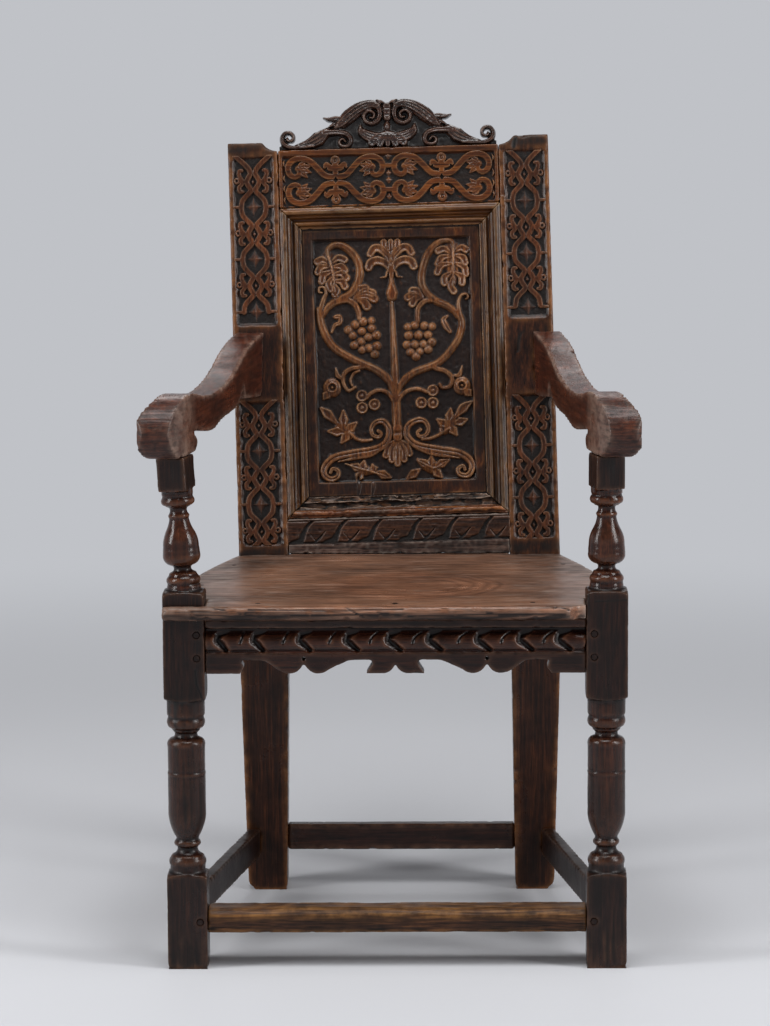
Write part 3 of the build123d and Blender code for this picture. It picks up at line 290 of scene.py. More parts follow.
def agedPiece(nodeName, settings, matrix):
    # the node's solid remade at an even cell, its edges worn round and its faces no longer quite flat
    bm = bmesh.new()
    bm.from_mesh(frame["nodes"][nodeName].data)
    bmesh.ops.remove_doubles(bm, verts=bm.verts, dist=1e-6)
    bmesh.ops.transform(bm, matrix=matrix.inverted(), verts=bm.verts)
    piece = pieceFrom(nodeName + "_aged", bm)
    mesh = remake(piece, settings["cell"], settings["soften"])
    places, normals = pointsOf(mesh)
    stands = np.clip(standsOut(mesh, 4), 0, 1)
    dents = np.abs(waves(places, settings["seed"], settings["dents"]))
    chips = np.clip(waves(places, settings["seed"] + 5, [(9, 1.0)]) - 0.25, 0, 1)
    depth = dents + chips * settings["chips"] * stands * 4 + settings["shrink"]
    places = places - normals * (depth * mm)[:, None]
    whole = np.array(matrix)
    setPlaces(mesh, places @ whole[:3, :3].T + whole[:3, 3])
    stands = standsOut(mesh, 5)
    storeAttribute(mesh, "edge", stands * settings["edge"])
    storeAttribute(mesh, "hollow", -stands * settings["hollow"])
    return piece


# the frame of the chair: what is left of each solid after four centuries of use
wear = {"cell": 2.0, "soften": 2, "dents": [(45, 0.5), (12, 0.2)], "chips": 1.2, "shrink": 0.12,
        "edge": 0.9, "hollow": 1.1}
lathe = dict(soften=1, dents=[(45, 0.3), (12, 0.12)])
planed = dict(soften=1, dents=[(40, 0.15)])
framePieces = {   # finish, cell in mm, seed, and where its wear differs
    "rear_post_left": ("back_post_oak", 2.5, 1, {}),
    "rear_post_right": ("back_post_oak", 2.5, 2, {}),
    "front_seat_rail": ("smoked_oak_cross", 1.4, 3, {}),
    "rear_seat_rail": ("smoked_oak_cross", 4.0, 4, {}),
    "side_seat_rail_left": ("smoked_oak_side", 3.0, 5, {}),
    "side_seat_rail_right": ("smoked_oak_side", 3.0, 6, {}),
    "front_stretcher": ("stretcher_oak", 1.4, 7, dict(dents=[(60, 1.0), (14, 0.4)], edge=1.3)),
    "rear_stretcher": ("smoked_oak_cross", 2.4, 8, {}),
    "side_stretcher_left": ("smoked_oak_side", 2.4, 9, {}),
    "side_stretcher_right": ("smoked_oak_side", 2.4, 10, {}),
    "top_rail": ("top_rail_oak", 1.8, 11, {}),
    "lower_back_rail": ("worn_oak", 1.6, 12, dict(dents=[(30, 1.2), (8, 0.9)], chips=2.0)),
    "arm_left": ("arm_oak", 2.2, 13, {}),
    "arm_right": ("arm_oak", 2.2, 14, {}),
    "seat_board": ("seat_oak", 3.3, 15, dict(edge=0.7)),
    "front_post_left": ("smoked_oak_upright", 1.7, 16, lathe),
    "front_post_right": ("smoked_oak_upright", 1.7, 17, lathe),
    "back_panel": ("smoked_oak_upright", 3.6, 18, dict(shrink=1.2)),
    "panel_moulding_top": ("moulding_oak_cross", 1.1, 20, planed),
    "panel_moulding_left": ("moulding_oak_upright", 1.1, 21, planed),
    "panel_moulding_right": ("moulding_oak_upright", 1.1, 22, planed),
    "panel_moulding_bottom": ("moulding_oak_foot", 1.0, 23,
                              dict(soften=1, dents=[(28, 2.2), (7, 1.1)], chips=3.0)),
}
slotOf = {entry["node"]: entry["material_slot"] for entry in frame["record"]["subparts"]}
leaning = ("top_rail", "lower_back_rail", "back_panel", "panel_moulding")     # these lie in the raked back
aged = {}
for nodeName, (finish, cell, seed, own) in framePieces.items():
    matrix = backMatrix if nodeName.startswith(leaning) else standMatrix
    aged[nodeName] = agedPiece(nodeName, {**wear, "cell": cell, "seed": seed, **own}, matrix)
    finishPiece(aged[nodeName], finish, slotOf[nodeName], nodeName)
for nodeName, node in frame["nodes"].items():
    if nodeName not in framePieces and nodeName != "crest":
        node.data.materials.clear()
        node.data.materials.append(oak["peg_oak"])
print("frame pieces made")


# carving: a field is a board of heights in mm, worked by strokes
def newField(low, high, cell, seed):
    columns = round((high[0] - low[0]) / cell) + 1
    rows = round((high[1] - low[1]) / cell) + 1
    x, y = np.meshgrid(np.linspace(low[0], high[0], columns), np.linspace(low[1], high[1], rows))
    return {"x": x, "y": y, "h": np.zeros(x.shape), "cell": cell, "random": np.random.default_rng(seed)}


def smoothLine(points, halves):
    # a curve through the points, and its half width along the way
    points = np.array(points, float)
    spans = len(points) - 1
    guides = np.vstack([2 * points[0] - points[1], points, 2 * points[-1] - points[-2]])
    halves = np.interp(np.linspace(0, 1, spans + 1), np.linspace(0, 1, len(halves)), halves)
    line, wide = [], []
    for i in range(spans):
        a, b, c, d = guides[i:i + 4]
        steps = max(3, int(np.linalg.norm(c - b) / 1.2))                # about 1.2 mm to a step
        t = np.linspace(0, 1, steps, endpoint=False)[:, None]
        line.append(0.5 * (2 * b + (c - a) * t + (2 * a - 5 * b + 4 * c - d) * t ** 2
                           + (3 * b - a - 3 * c + d) * t ** 3))
        wide.append(halves[i] + (halves[i + 1] - halves[i]) * t[:, 0])
    return np.vstack(line + [guides[spans + 1][None]]), np.concatenate(wide + [halves[-1:]])


def reachOf(field, points, halves):
    # for each cell of the field: how far the curve is, and how wide it is there
    line, wide = smoothLine(points, halves)
    far = np.full(field["h"].shape, 99.0)
    near = np.ones(field["h"].shape)
    cell, left, low = field["cell"], field["x"][0, 0], field["y"][0, 0]
    for a, b, halfA, halfB in zip(line[:-1], line[1:], wide[:-1], wide[1:]):
        r = max(halfA, halfB) + 1
        i0 = max(0, int((min(a[0], b[0]) - r - left) / cell))
        i1 = max(0, int((max(a[0], b[0]) + r - left) / cell) + 2)
        j0 = max(0, int((min(a[1], b[1]) - r - low) / cell))
        j1 = max(0, int((max(a[1], b[1]) + r - low) / cell) + 2)
        dx, dy = field["x"][j0:j1, i0:i1] - a[0], field["y"][j0:j1, i0:i1] - a[1]
        step = b - a
        t = np.clip((dx * step[0] + dy * step[1]) / max(step @ step, 1e-9), 0, 1)
        away = np.hypot(dx - t * step[0], dy - t * step[1])
        closer = away < far[j0:j1, i0:i1]
        far[j0:j1, i0:i1][closer] = away[closer]
        near[j0:j1, i0:i1][closer] = (halfA + (halfB - halfA) * t)[closer]
    return far, near


def strap(field, points, halves, top=4.6, flank=1.6, groove=0.0, dish=0.0):
    # a band left standing: flat on top with sloping sides, and a groove or a dish down its middle
    far, near = reachOf(field, points, halves)
    height = top * np.clip((near - far) / flank, 0, 1)
    height -= groove * np.clip(1 - far / 1.3, 0, 1) * (height > groove)
    height -= dish * np.clip(1 - (far / (near * 0.7)) ** 2, 0, 1) * (height > dish)
    field["h"] = np.maximum(field["h"], height)


def leaf(field, points, half, top=4.4, dish=1.3, flank=1.1):
    # a pointed lobe, hollowed with a round gouge
    if len(points) == 2:
        points = [points[0], [(a + b) / 2 for a, b in zip(*points)], points[1]]
    strap(field, points, [half * s for s in (0.35, 0.8, 1.0, 0.95, 0.7, 0.25)], top, flank, dish=dish)


def petal(field, root, tip, half, top=4.4, dish=1.5, flank=1.1, arch=0.14):
    # a lobe that widens to a blunt end, and arches upwards on its way
    across, up = tip[0] - root[0], tip[1] - root[1]
    way = 1 if across > 0 else -1
    middle = ((root[0] + tip[0]) / 2 - way * up * arch, (root[1] + tip[1]) / 2 + way * across * arch)
    end = (root[0] + across * 0.86, root[1] + up * 0.86)
    strap(field, [root, middle, end], [half * s for s in (0.45, 0.7, 0.95, 1.1, 0.95)], top, flank,
          dish=dish)


def mass(field, points, halves, top=2.5):
    # the lump that the lobes of a leaf are cut from
    far, near = reachOf(field, points, halves)
    field["h"] = np.maximum(field["h"], top * np.clip(1.4 * (1 - far / near), 0, 1) ** 0.6)


def cut(field, points, halves, depth):
    far, near = reachOf(field, points, halves)
    lowered = np.maximum(field["h"] - depth * np.clip(1 - far / near, 0, 1), 0.2)
    field["h"] = np.where(field["h"] > 0.3, lowered, field["h"])


def boss(field, x, y, across, up, top, low=0.0, power=0.5):
    q = np.clip(1 - ((field["x"] - x) / across) ** 2 - ((field["y"] - y) / up) ** 2, 0, 1)
    field["h"] = np.where(q > 0, np.maximum(field["h"], low + (top - low) * q ** power), field["h"])


def sink(field, x, y, across, up, floor):
    q = ((field["x"] - x) / across) ** 2 + ((field["y"] - y) / up) ** 2
    field["h"] = np.where(q < 1, np.minimum(field["h"], floor), field["h"])


def ring(field, x, y, radius, half, top=4.2, flank=0.9):
    away = np.abs(np.hypot(field["x"] - x, field["y"] - y) - radius)
    field["h"] = np.maximum(field["h"], top * np.clip((half - away) / flank, 0, 1))


def mirrored(points, x):
    return [(2 * x - p[0], p[1]) for p in points]


def softNoise(field, length):
    rows, columns = field["h"].shape
    coarse = field["random"].standard_normal((int(rows * field["cell"] / length) + 3,
                                              int(columns * field["cell"] / length) + 3))
    down = np.linspace(0, coarse.shape[0] - 1.001, rows)
    along = np.linspace(0, coarse.shape[1] - 1.001, columns)
    j, i = down.astype(int)[:, None], along.astype(int)[None, :]
    v, u = (down % 1)[:, None], (along % 1)[None, :]
    v, u = v * v * (3 - 2 * v), u * u * (3 - 2 * u)
    return ((coarse[j, i] * (1 - u) + coarse[j, i + 1] * u) * (1 - v)
            + (coarse[j + 1, i] * (1 - u) + coarse[j + 1, i + 1] * u) * v)


def punchGround(field, spacing, depth):
    # the ground is pricked all over with a round punch
    rows, columns = field["h"].shape
    count = int(rows * columns * field["cell"] ** 2 / spacing ** 2)
    pits = np.zeros((rows + 8, columns + 8))
    j = field["random"].integers(4, rows + 4, count)
    i = field["random"].integers(4, columns + 4, count)
    pits[j, i] = field["random"].uniform(0.4, 1, count)
    spread = np.zeros((rows, columns))
    for dj in range(-2, 3):
        for di in range(-2, 3):
            fall = math.exp(-(dj * dj + di * di) * (field["cell"] / 0.9) ** 2)
            spread = np.maximum(spread, fall * pits[4 + dj:4 + dj + rows, 4 + di:4 + di + columns])
    field["h"] -= depth * spread * np.clip(1.2 - field["h"], 0, 1)


def weather(field, tops=0.22, ground=0.25):
    high = np.clip(field["h"] / 3, 0, 1)
    field["h"] -= high * np.abs(softNoise(field, 22) * tops + softNoise(field, 4) * tops * 0.5)
    field["h"] += (1 - high) * softNoise(field, 5) * ground
    punchGround(field, 2.1, 0.4)


def fieldSheet(field, up, forward):
    # the field as a sheet of faces, moved up and forward by so many mm
    rows, columns = field["h"].shape
    bm = bmesh.new()
    bmesh.ops.create_grid(bm, x_segments=columns - 1, y_segments=rows - 1, size=1)
    bm.verts.ensure_lookup_table()
    x, y, h = [field[key].ravel() for key in "xyh"]
    for vert, place in zip(bm.verts, zip(x * mm, (y + up) * mm, (h + forward) * mm)):
        vert.co = place
    return bm


def setBack(extruded, depth):
    # the far side of an extrusion, at its depth in mm
    for vert in extruded:
        if isinstance(vert, bmesh.types.BMVert):
            vert.co.z = depth * mm


slabLook = {"rubbed": 0.75, "darkAtGround": 1.15, "darkeningRise": 1.3, "darkestAtGround": 0.95}


def carvedPiece(name, field, level, thick, finish, slotName, shade=None):
    # the field as a closed slab, its ground at the given level in front of the frame's face
    bm = fieldSheet(field, 0, level)
    skirt = bmesh.ops.extrude_edge_only(bm, edges=[e for e in bm.edges if e.is_boundary])["geom"]
    setBack(skirt, level - thick)
    rim = [e for e in skirt if isinstance(e, bmesh.types.BMEdge) and e.is_boundary]
    bmesh.ops.contextual_create(bm, geom=rim)
    bmesh.ops.recalc_face_normals(bm, faces=bm.faces)
    piece = pieceFrom(name, bm)
    mesh = piece.data
    stands = standsOut(mesh, 3)
    front = field["h"].size
    depth, slope = np.zeros(len(mesh.vertices)), np.zeros(len(mesh.vertices))
    # the lower a point lies in the field, the darker it is painted
    depth[:front] = np.clip(slabLook["darkAtGround"] - field["h"].ravel() / slabLook["darkeningRise"], 0,
                            slabLook["darkestAtGround"])
    if shade is not None:                                      # places that are darker for another reason
        depth[:front] = np.maximum(depth[:front], shade.ravel())
    # the steep flanks, like the raised edges, are painted paler: partly wear, partly painted highlight
    steep = np.hypot(*np.gradient(field["h"], field["cell"]))
    slope[:front] = (np.clip(steep * 0.25, 0, 0.3) * np.clip(field["h"] / 1.5 - 0.3, 0, 1)).ravel()
    mesh.transform(carvingMatrix)
    storeAttribute(mesh, "edge", stands * slabLook["rubbed"] + slope)
    storeAttribute(mesh, "hollow", np.maximum(depth, -stands * 1.1 - 0.05))
    finishPiece(piece, finish, slotName)
    return piece


# the panel: a vine with grapes and flowers that grows out of two scrolls, 210 by 325 mm and 5.4 mm deep
panel = {"half": 105, "low": 98, "high": 423, "ground": -18.6, "deep": 5.4, "cell": 0.95, "seed": 31}


def drawLily(field):
    # the stem, the clasp and the lily at the top
    strap(field, [(-0.5, 242), (0, 190), (1, 118), (1.5, 71)], [3.3, 4.6, 6.9, 6.6], flank=3.4)
    strap(field, [(2, 70), (2, 59)], [7, 7], top=4.9, flank=1.5)
    cut(field, [(-3, 64.5), (7, 64.5)], [4, 4], 1.4)
    strap(field, [(-0.5, 272), (-0.5, 264), (-0.5, 252), (-0.5, 247)], [3.6, 4.6, 8.8, 7.4], top=5.2,
          flank=3.4)
    strap(field, [(-0.5, 286), (-0.5, 272)], [5.5, 3.4], flank=1.6)
    for side in (-1, 1):
        def flip(points):
            return points if side < 0 else mirrored(points, -0.3)
        strap(field, flip([(-3, 283), (-6, 280), (-8, 274), (-14.5, 273)]), [2.2, 2.0, 1.8, 1.2], flank=1.0)
        strap(field, flip([(0, 281), (-8, 292), (-18, 296), (-27, 293.5), (-30.5, 287)]),
              [4.0, 5.8, 6.6, 6.6, 6.0], flank=1.5, dish=2.0)
        strap(field, flip([(-0.5, 292), (-6, 304), (-15, 312), (-23, 312), (-28, 305)]),
              [3.8, 5.6, 6.2, 6.2, 5.4], flank=1.5, dish=2.0)
        petal(field, flip([(-0.3, 300)])[0], flip([(-11, 324)])[0], 5.0, arch=-0.1)
    petal(field, (-0.3, 302), (0, 324), 4.6, arch=0)


def drawBranches(field):
    # left main branch, its curl, the loop and its side shoot
    strap(field, [(-0.8, 118), (-7.5, 134.5), (-23.5, 149), (-44, 159), (-66, 171), (-84, 186),
                  (-95.5, 211), (-98, 232)], [6.4, 5.9, 5.9, 5.9, 5.6], flank=3.4)
    strap(field, [(-98, 228), (-92, 246), (-88.5, 254.5), (-91, 262), (-97, 262), (-98, 256), (-94, 255)],
          [4.4, 3.0, 2.6, 2.2, 1.8], flank=1.6)
    strap(field, [(-95, 224), (-88, 234), (-79, 241), (-68.5, 246), (-56, 252), (-49.5, 260), (-43.5, 274),
                  (-42.5, 286.5), (-46, 298), (-53, 308.5), (-62.5, 316), (-72, 319), (-80, 316.5),
                  (-84.5, 311), (-84.5, 299)], [5.0, 6.0, 6.2, 6.2, 6.0, 5.4, 3.4], flank=3.4)
    strap(field, [(-77, 240), (-68, 243), (-58, 243.5), (-50, 237), (-46, 228), (-45, 219)],
          [3.6, 4.6, 4.5, 3.6], flank=2.0)
    # right main branch
    strap(field, [(2.5, 118), (8, 129), (25.5, 144), (60, 157.5), (83.5, 182.5), (91, 200), (92, 212),
                  (87, 226)], [6.2, 5.6, 5.6, 5.4, 4.8], flank=3.4)
    strap(field, [(91, 214), (88.5, 229), (89, 239.5), (93, 246.5), (99.5, 247.5), (101.5, 243),
                  (98.5, 241)], [4.0, 3.0, 2.5, 2.0, 1.8], flank=1.6)
    strap(field, [(88, 218), (82, 226), (71.5, 233.5), (58, 240), (46.5, 250), (40.5, 262.5), (40.5, 277),
                  (46, 296.5), (55.5, 311), (66.5, 319.5), (76, 321), (82, 318), (84, 308)],
          [4.6, 5.6, 5.8, 5.8, 5.6, 4.6, 3.2], flank=3.4)
    strap(field, [(60, 238), (51.5, 240.5), (43, 239.5), (35, 232), (33, 222), (33, 213)],
          [3.4, 4.2, 4.1, 3.4], flank=2.0)
    # the curls inside the branches
    strap(field, [(-77, 222), (-71, 221.5), (-71, 214), (-78, 211), (-82.5, 201.5)],
          [3.4, 3.6, 3.2, 3.0, 2.0], flank=1.4, groove=1.4)
    strap(field, [(73, 219), (68, 214), (71, 205), (76, 198)], [2.2, 4.2, 4.6, 3.0], flank=1.4, groove=1.8)


def drawLeaves(field):
    # the hanging leaves: a lump, its rib, and the (root, tip) of each lobe
    for lump, halves, rib, ribHalves, half, lobes in (
            ([(-83, 298), (-80, 282), (-77, 262)], [14, 15, 10, 4],
             [(-84, 303), (-80, 287), (-78, 273), (-77, 254)], [2.6, 2.2, 1.8, 1.4], 5.9,
             [((-84, 294), (-102, 297)), ((-84, 290), (-101, 281.5)), ((-80, 295), (-60, 299)),
              ((-78, 289), (-60, 283)), ((-80, 283), (-96, 268)), ((-77, 279), (-58, 273)),
              ((-79, 275), (-83, 257)), ((-76, 270), (-61, 261)), ((-77.5, 265), (-76.5, 250))]),
            ([(82, 305), (82, 288), (82.5, 262)], [14, 16, 11, 4],
             [(83.5, 309), (83, 290), (82.5, 262)], [2.6, 2.2, 1.4], 5.7,
             [((80, 303), (60.5, 307)), ((80, 299), (60, 287.5)), ((80, 289), (58.5, 276)),
              ((80, 277), (69, 261)), ((86, 306), (103, 307)), ((86, 300), (101, 288)),
              ((86, 289), (102, 272.5)), ((85, 277), (95.5, 260.5)), ((82.5, 270), (82.5, 249))])):
        mass(field, lump, halves, top=1.9)
        strap(field, rib, ribHalves, top=5.0, flank=1.6)
        for lobe in lobes:
            petal(field, *lobe, half, dish=1.9, flank=1.4, arch=0.2)
    # the leaves that grow inwards
    for lump, halves, half, lobes in (
            ([(-48, 248), (-38, 247.5), (-28, 249)], [8, 12, 9, 3], 6.8,
             [((-50, 247), (-20, 244.5)), ((-49, 249), (-23, 253)), ((-47, 252), (-34, 260)),
              ((-44, 243), (-33, 233.5))]),
            ([(38, 246), (30, 246), (22, 246)], [6, 9.5, 8, 3], 6.2,
             [((39, 248), (25, 255)), ((38, 247), (18, 245)), ((38, 245), (25, 235.5))])):
        mass(field, lump, halves, top=3.4)
        for lobe in lobes:
            petal(field, *lobe, half, dish=1.5, flank=1.6)


def drawFruit(field):
    # grapes
    for x, y in [(-40, 215), (-29, 215.5), (-51, 211), (-28.5, 205.5), (-60, 204), (-42, 202),
                 (-54.5, 196.5), (-33.5, 193.5), (-22.5, 196), (-43.5, 188), (-52.5, 183.5), (-22.5, 181.5),
                 (-33, 179), (-42.5, 177), (-25.5, 170.5), (20, 206), (29, 208), (42, 207), (52, 205.5),
                 (20.5, 194.5), (33.5, 194.5), (46.5, 194.5), (18, 182), (28.5, 182), (40, 182),
                 (51.5, 184.5), (22.5, 172), (35, 172.5), (46, 175), (29.5, 166)]:
        size = field["random"].uniform(5.9, 6.6)
        boss(field, x, y, size, size * 0.96, 5.4, power=0.7)


def drawFlowers(field):
    # flowers on their hooked stems: the stems, the calyx, the middle, the size, the eye, its pit and the tip
    for stems, calyx, x, y, size, eye, pit, tip in (
            ([([(-38, 155), (-46, 153.5), (-57, 152), (-67, 146), (-69, 134), (-62.5, 123), (-53, 127)],
               [3.8, 3.6, 3.4, 3.4, 2.8, 2.4], 1.4),
              ([(-47, 149), (-55, 145), (-59, 136), (-57, 129)], [2.2, 2.4, 2.4, 2.0], 1.2)],
             [(-69, 138), (-76, 143), (-78.5, 154)], -84, 127, (12, 13), 6.2, (4.6, 5.0),
             [(-88, 122), (-96, 112)]),
            ([([(50, 153), (58, 148.5), (68.5, 145), (77, 136), (74, 125), (64, 123), (60, 128)],
               [3.8, 3.6, 3.4, 3.2, 2.8, 2.4], 1.4)],
             [(77, 139), (87, 140), (91, 152)], 90, 125, (11.5, 12.5), 6.0, (4.4, 4.8),
             [(94, 120), (102, 111)])):
        for stem, halves, flank in stems:
            strap(field, stem, halves, flank=flank)
        leaf(field, calyx, 3.6)
        boss(field, x, y, *size, 4.6, power=0.3)
        leaf(field, tip, 7, dish=0)
        ring(field, x, y + 0.5, eye, 1.5, top=5.2)
        sink(field, x, y + 0.5, *pit, 1.4)
        boss(field, x, y + 0.5, 1.9, 1.9, 4.4)


def drawRoundels(field):
    # three roundels on each side
    strap(field, [(-1, 106), (-9.5, 118), (-21, 122), (-32.5, 118), (-38, 112)], [3.6, 3.4, 3.3, 3.2, 3.0],
          flank=1.6)
    strap(field, [(4, 108), (8.5, 114), (17.5, 120.5), (31, 122.5), (43, 118)], [3.6, 3.4, 3.3, 3.2, 3.0],
          flank=1.6)
    for x, y in [(-44.5, 115), (-44.5, 99), (-28, 103), (51, 119.5), (35, 103.5), (50.5, 103)]:
        boss(field, x, y, 8.2, 8.2, 3.0, power=0.25)
        ring(field, x, y, 6.6, 1.7, top=4.5)
        boss(field, x, y, 2.3, 2.3, 4.6, low=2.0)


def drawSprays(field):
    # sprays beside the clasp and at the bottom: a lump, a rib, and the lobes
    for lump, halves, rib, ribHalves, flank, half, lobes in (
            ([(-74, 74), (-68, 70), (-62, 64)], [9, 11, 7],
             [(-63, 67), (-53.5, 58), (-43.5, 55), (-33, 56)], [2.0, 2.6, 2.6, 2.4], 1.2, 7.6,
             [[(-99.5, 100), (-91, 92), (-77, 77)], [(-70, 95), (-70, 72)], [(-53.5, 79), (-68, 66.5)],
              [(-90, 69), (-68, 67)], [(-73, 53.5), (-63, 68)]]),
            ([(76, 78), (71, 73), (64, 66)], [8, 11, 7],
             [(72, 69), (60, 61.5), (47, 56), (35, 55)], [2.0, 2.6, 2.6, 2.4], 1.2, 7.4,
             [[(102, 103), (91, 95), (77, 79.5)], [(74, 94), (70.5, 75)], [(95, 79.5), (78, 74)],
              [(56, 80.5), (70, 70)], [(81, 59.5), (72, 72)]]),
            ([(-54, 20), (-47, 16), (-34, 14)], [6, 10, 5],
             [(-69, 25), (-51.5, 18), (-34, 13), (-14, 6)], [1.4, 1.8, 1.8, 1.2], 1.0, 7.2,
             [[(-9, 5), (-29, 13)], [(-44, 27.5), (-47.5, 14)], [(-61, 23), (-47, 16)],
              [(-54, 2), (-47, 14)], [(-33, 22), (-30, 12)]]),
            ([(37, 18), (47, 17), (57, 20)], [5, 10, 6],
             [(29, 26), (43, 18), (52, 16), (66, 24)], [1.4, 1.8, 1.8, 1.2], 1.0, 7.2,
             [[(13, 2.5), (31, 15)], [(46.5, 31), (45, 17)], [(28, 27.5), (44, 17)], [(69, 26), (51, 17)],
              [(59, 3.5), (48, 15)]])):
        mass(field, lump, halves, top=3.2)
        strap(field, rib, ribHalves, flank=flank)
        for lobe in lobes:
            leaf(field, lobe, half, dish=1.8, flank=1.6)


def drawScrolls(field):
    # the two scrolls at the foot, each with a second band under it
    strap(field, [(-24, 67.5), (-20, 64), (-23, 59.5), (-31, 62), (-33, 71), (-27, 79), (-17, 80),
                  (-10, 71), (-10.5, 58), (-18, 47.5), (-33.5, 42), (-59, 38.5), (-83, 33.5), (-96, 22.5),
                  (-97.5, 11), (-89, 4.5), (-80, 8), (-79, 15.5), (-86, 18.5), (-89.5, 13.5)],
          [2.6, 2.8, 3.2, 4.2, 5.0, 5.6, 5.6, 5.2, 4.2, 3.2, 2.6], flank=1.3, groove=1.8)
    strap(field, [(-78, 28), (-53, 32.5), (-33, 36), (-17, 47)], [1.6, 3.0, 3.0, 2.2], flank=1.2)
    strap(field, [(33, 67.5), (28.5, 64), (31.5, 58.5), (40, 60.5), (43.5, 69), (39, 78.5), (29.5, 80.5),
                  (17, 74), (14, 62), (20, 52), (32, 45.5), (58.5, 40), (82, 35.5), (97, 26), (100.5, 14),
                  (94, 5), (84, 6.5), (81.5, 13.5), (88, 17.5), (91, 12.5)],
          [2.6, 2.8, 3.2, 4.2, 5.0, 5.6, 5.6, 5.2, 4.2, 3.2, 2.6], flank=1.3, groove=1.8)
    strap(field, [(84, 28.5), (63, 32), (44, 36), (27, 43)], [1.6, 3.0, 3.0, 2.2], flank=1.2)
    # petals that hang from the clasp
    for tip in [(-17, 31), (-8, 24), (1, 18), (11, 24), (19.5, 33)]:
        petal(field, (2, 56), tip, 5.6, dish=1.6, flank=1.4, arch=0.1 if tip[0] != 1 else 0)


def drawPanel():
    field = newField((-118, 80), (118, 436), panel["cell"], panel["seed"])
    field["y"] -= panel["low"]
    for draw in (drawLily, drawBranches, drawLeaves, drawFruit, drawFlowers, drawRoundels, drawSprays,
                 drawScrolls):
        draw(field)
    # the wall of the sunk field, and the plain border round it
    tall = panel["high"] - panel["low"]
    inside = np.minimum(panel["half"] - np.abs(field["x"]), np.minimum(field["y"], tall - field["y"]))
    inside += softNoise(field, 30) * 0.35
    wall = panel["deep"] * np.clip(0.5 - inside / 1.5, 0, 1)
    field["h"] = np.maximum(np.minimum(field["h"], panel["deep"] - 0.2), wall)
    weather(field)
    for x in (-52, -33):                                       # the border has broken out below a leaf
        cut(field, [(x, 6), (x + 1, -6), (x - 1, -17)], [2.6, 3.0, 1.4], 3.6)
    field["y"] += panel["low"]
    return field


panelField = drawPanel()
borderShade = (np.maximum(np.abs(panelField["x"]) - panel["half"],
                          np.abs(panelField["y"] - (panel["low"] + panel["high"]) / 2)
                          - (panel["high"] - panel["low"]) / 2) > 0) * 0.85
borderShade = np.clip(borderShade + softNoise(panelField, 14) * 0.14 * (borderShade > 0), 0, 0.9)
panelPiece = carvedPiece("panel_carving", panelField, panel["ground"], 3, "panel_oak", "oak_carved",
                         shade=borderShade)
crownHighlight = np.zeros(len(panelPiece.data.vertices))               # the tops of the grapes are smoother and painted brighter and redder, a painted highlight; the border at that height gets the same
crownHighlight[:panelField["h"].size] = np.clip((panelField["h"].ravel() - 4.4) / 0.6, 0, 1) * 0.4
storeAttribute(panelPiece.data, "polish_and_sheen", crownHighlight)


# the posts of the back: two ribbons that cross at a diamond and part round a star, 70 mm to the repeat
strapwork = {"half": 26.6, "ground": -3.7, "top": 3.6, "flank": 0.8, "cell": 0.66, "ribbon": 3.8,
             "seed": 41}
# points are (out, from diamond), and each sprig has its half widths as well
ribbonShape = [(8.3, 0), (6.2, 5.5), (2.9, 11), (5.5, 15), (10.6, 20), (15, 26), (16.7, 35)]
ribbonEnd = [(6.2, 5.5), (3.2, 11), (5, 17), (12, 25), (24, 36)]                # above the topmost diamond
sprigs = [([(8, 0), (20, 1.5)], [3.4]),
          ([(14, 2), (18.5, 9), (18, 14.5), (14.5, 15.5)], [2.8, 3.2, 3.2, 2.6]),
          ([(14, -2), (18.5, -7), (17.5, -12.5), (14, -13)], [2.8, 3.2, 3.2, 2.6])]
postFields = {   # middle x, lowest and highest y, heights of the diamonds and of the stars
    "left_upper": (-181.8, 312.5, 537.5, (503, 432.9, 363.7), (469.6, 399.5, 328.8)),
    "right_upper": (181.2, 309.5, 533.5, (502.5, 431.5, 361.9), (467.6, 396.7, 324.8)),
    "left_lower": (-183, 17.5, 209.5, (176.5, 105.8, 34.6), (142.7, 71.3)),
    "right_lower": (180.7, 15.5, 207, (175.4, 104.2, 33.5), (140, 70.5)),
}


def drawStrapwork(middle, low, high, diamonds, stars, seed):
    half, top, flank = [strapwork[key] for key in ("half", "top", "flank")]
    field = newField((middle - half - 1, low - 1), (middle + half + 1, high + 1), strapwork["cell"], seed)
    for diamond in diamonds:
        for side in (-1, 1):
            def turn(points):
                return [(middle + side * out, diamond + rise) for out, rise in points]
            lower = [(out, -rise) for out, rise in ribbonShape[::-1]]
            upper = ribbonEnd if diamond == diamonds[0] else ribbonShape[1:]
            for points, halves in [(lower + upper, [strapwork["ribbon"]])] + sprigs:
                strap(field, turn(points), halves, top, flank)
            eyeX, eyeY = turn([(21.7, 1.7)])[0]
            boss(field, eyeX, eyeY, 4.2, 4.6, top, power=0.12)
            sink(field, eyeX, eyeY, 1.7, 1.9, 1.0)
        away = np.abs(field["x"] - middle) / 5 + np.abs(field["y"] - diamond) / 6.6
        field["h"] = np.where(away < 1, np.clip(3.0 * (0.72 - away), 0, 2.2), field["h"])
    for star in stars:
        u, v = np.abs(field["x"] - middle) / 12.5, np.abs(field["y"] - star) / 14.5
        away = u ** 0.62 + v ** 0.62
        field["h"] = np.maximum(field["h"], np.where(away < 1, 0.5 + 2.4 * (1 - away), 0))
        for side in (-1, 1):
            strap(field, [(middle + side * 17, star), (middle + side * (half + 2), star)], [2.3], top,
                  flank)
    weather(field, tops=0.15, ground=0.15)
    return field


for number, (name, values) in enumerate(postFields.items()):
    carvedPiece("post_carving_" + name, drawStrapwork(*values, strapwork["seed"] + number),
                strapwork["ground"], 2, "post_carving_oak", "oak_frame")


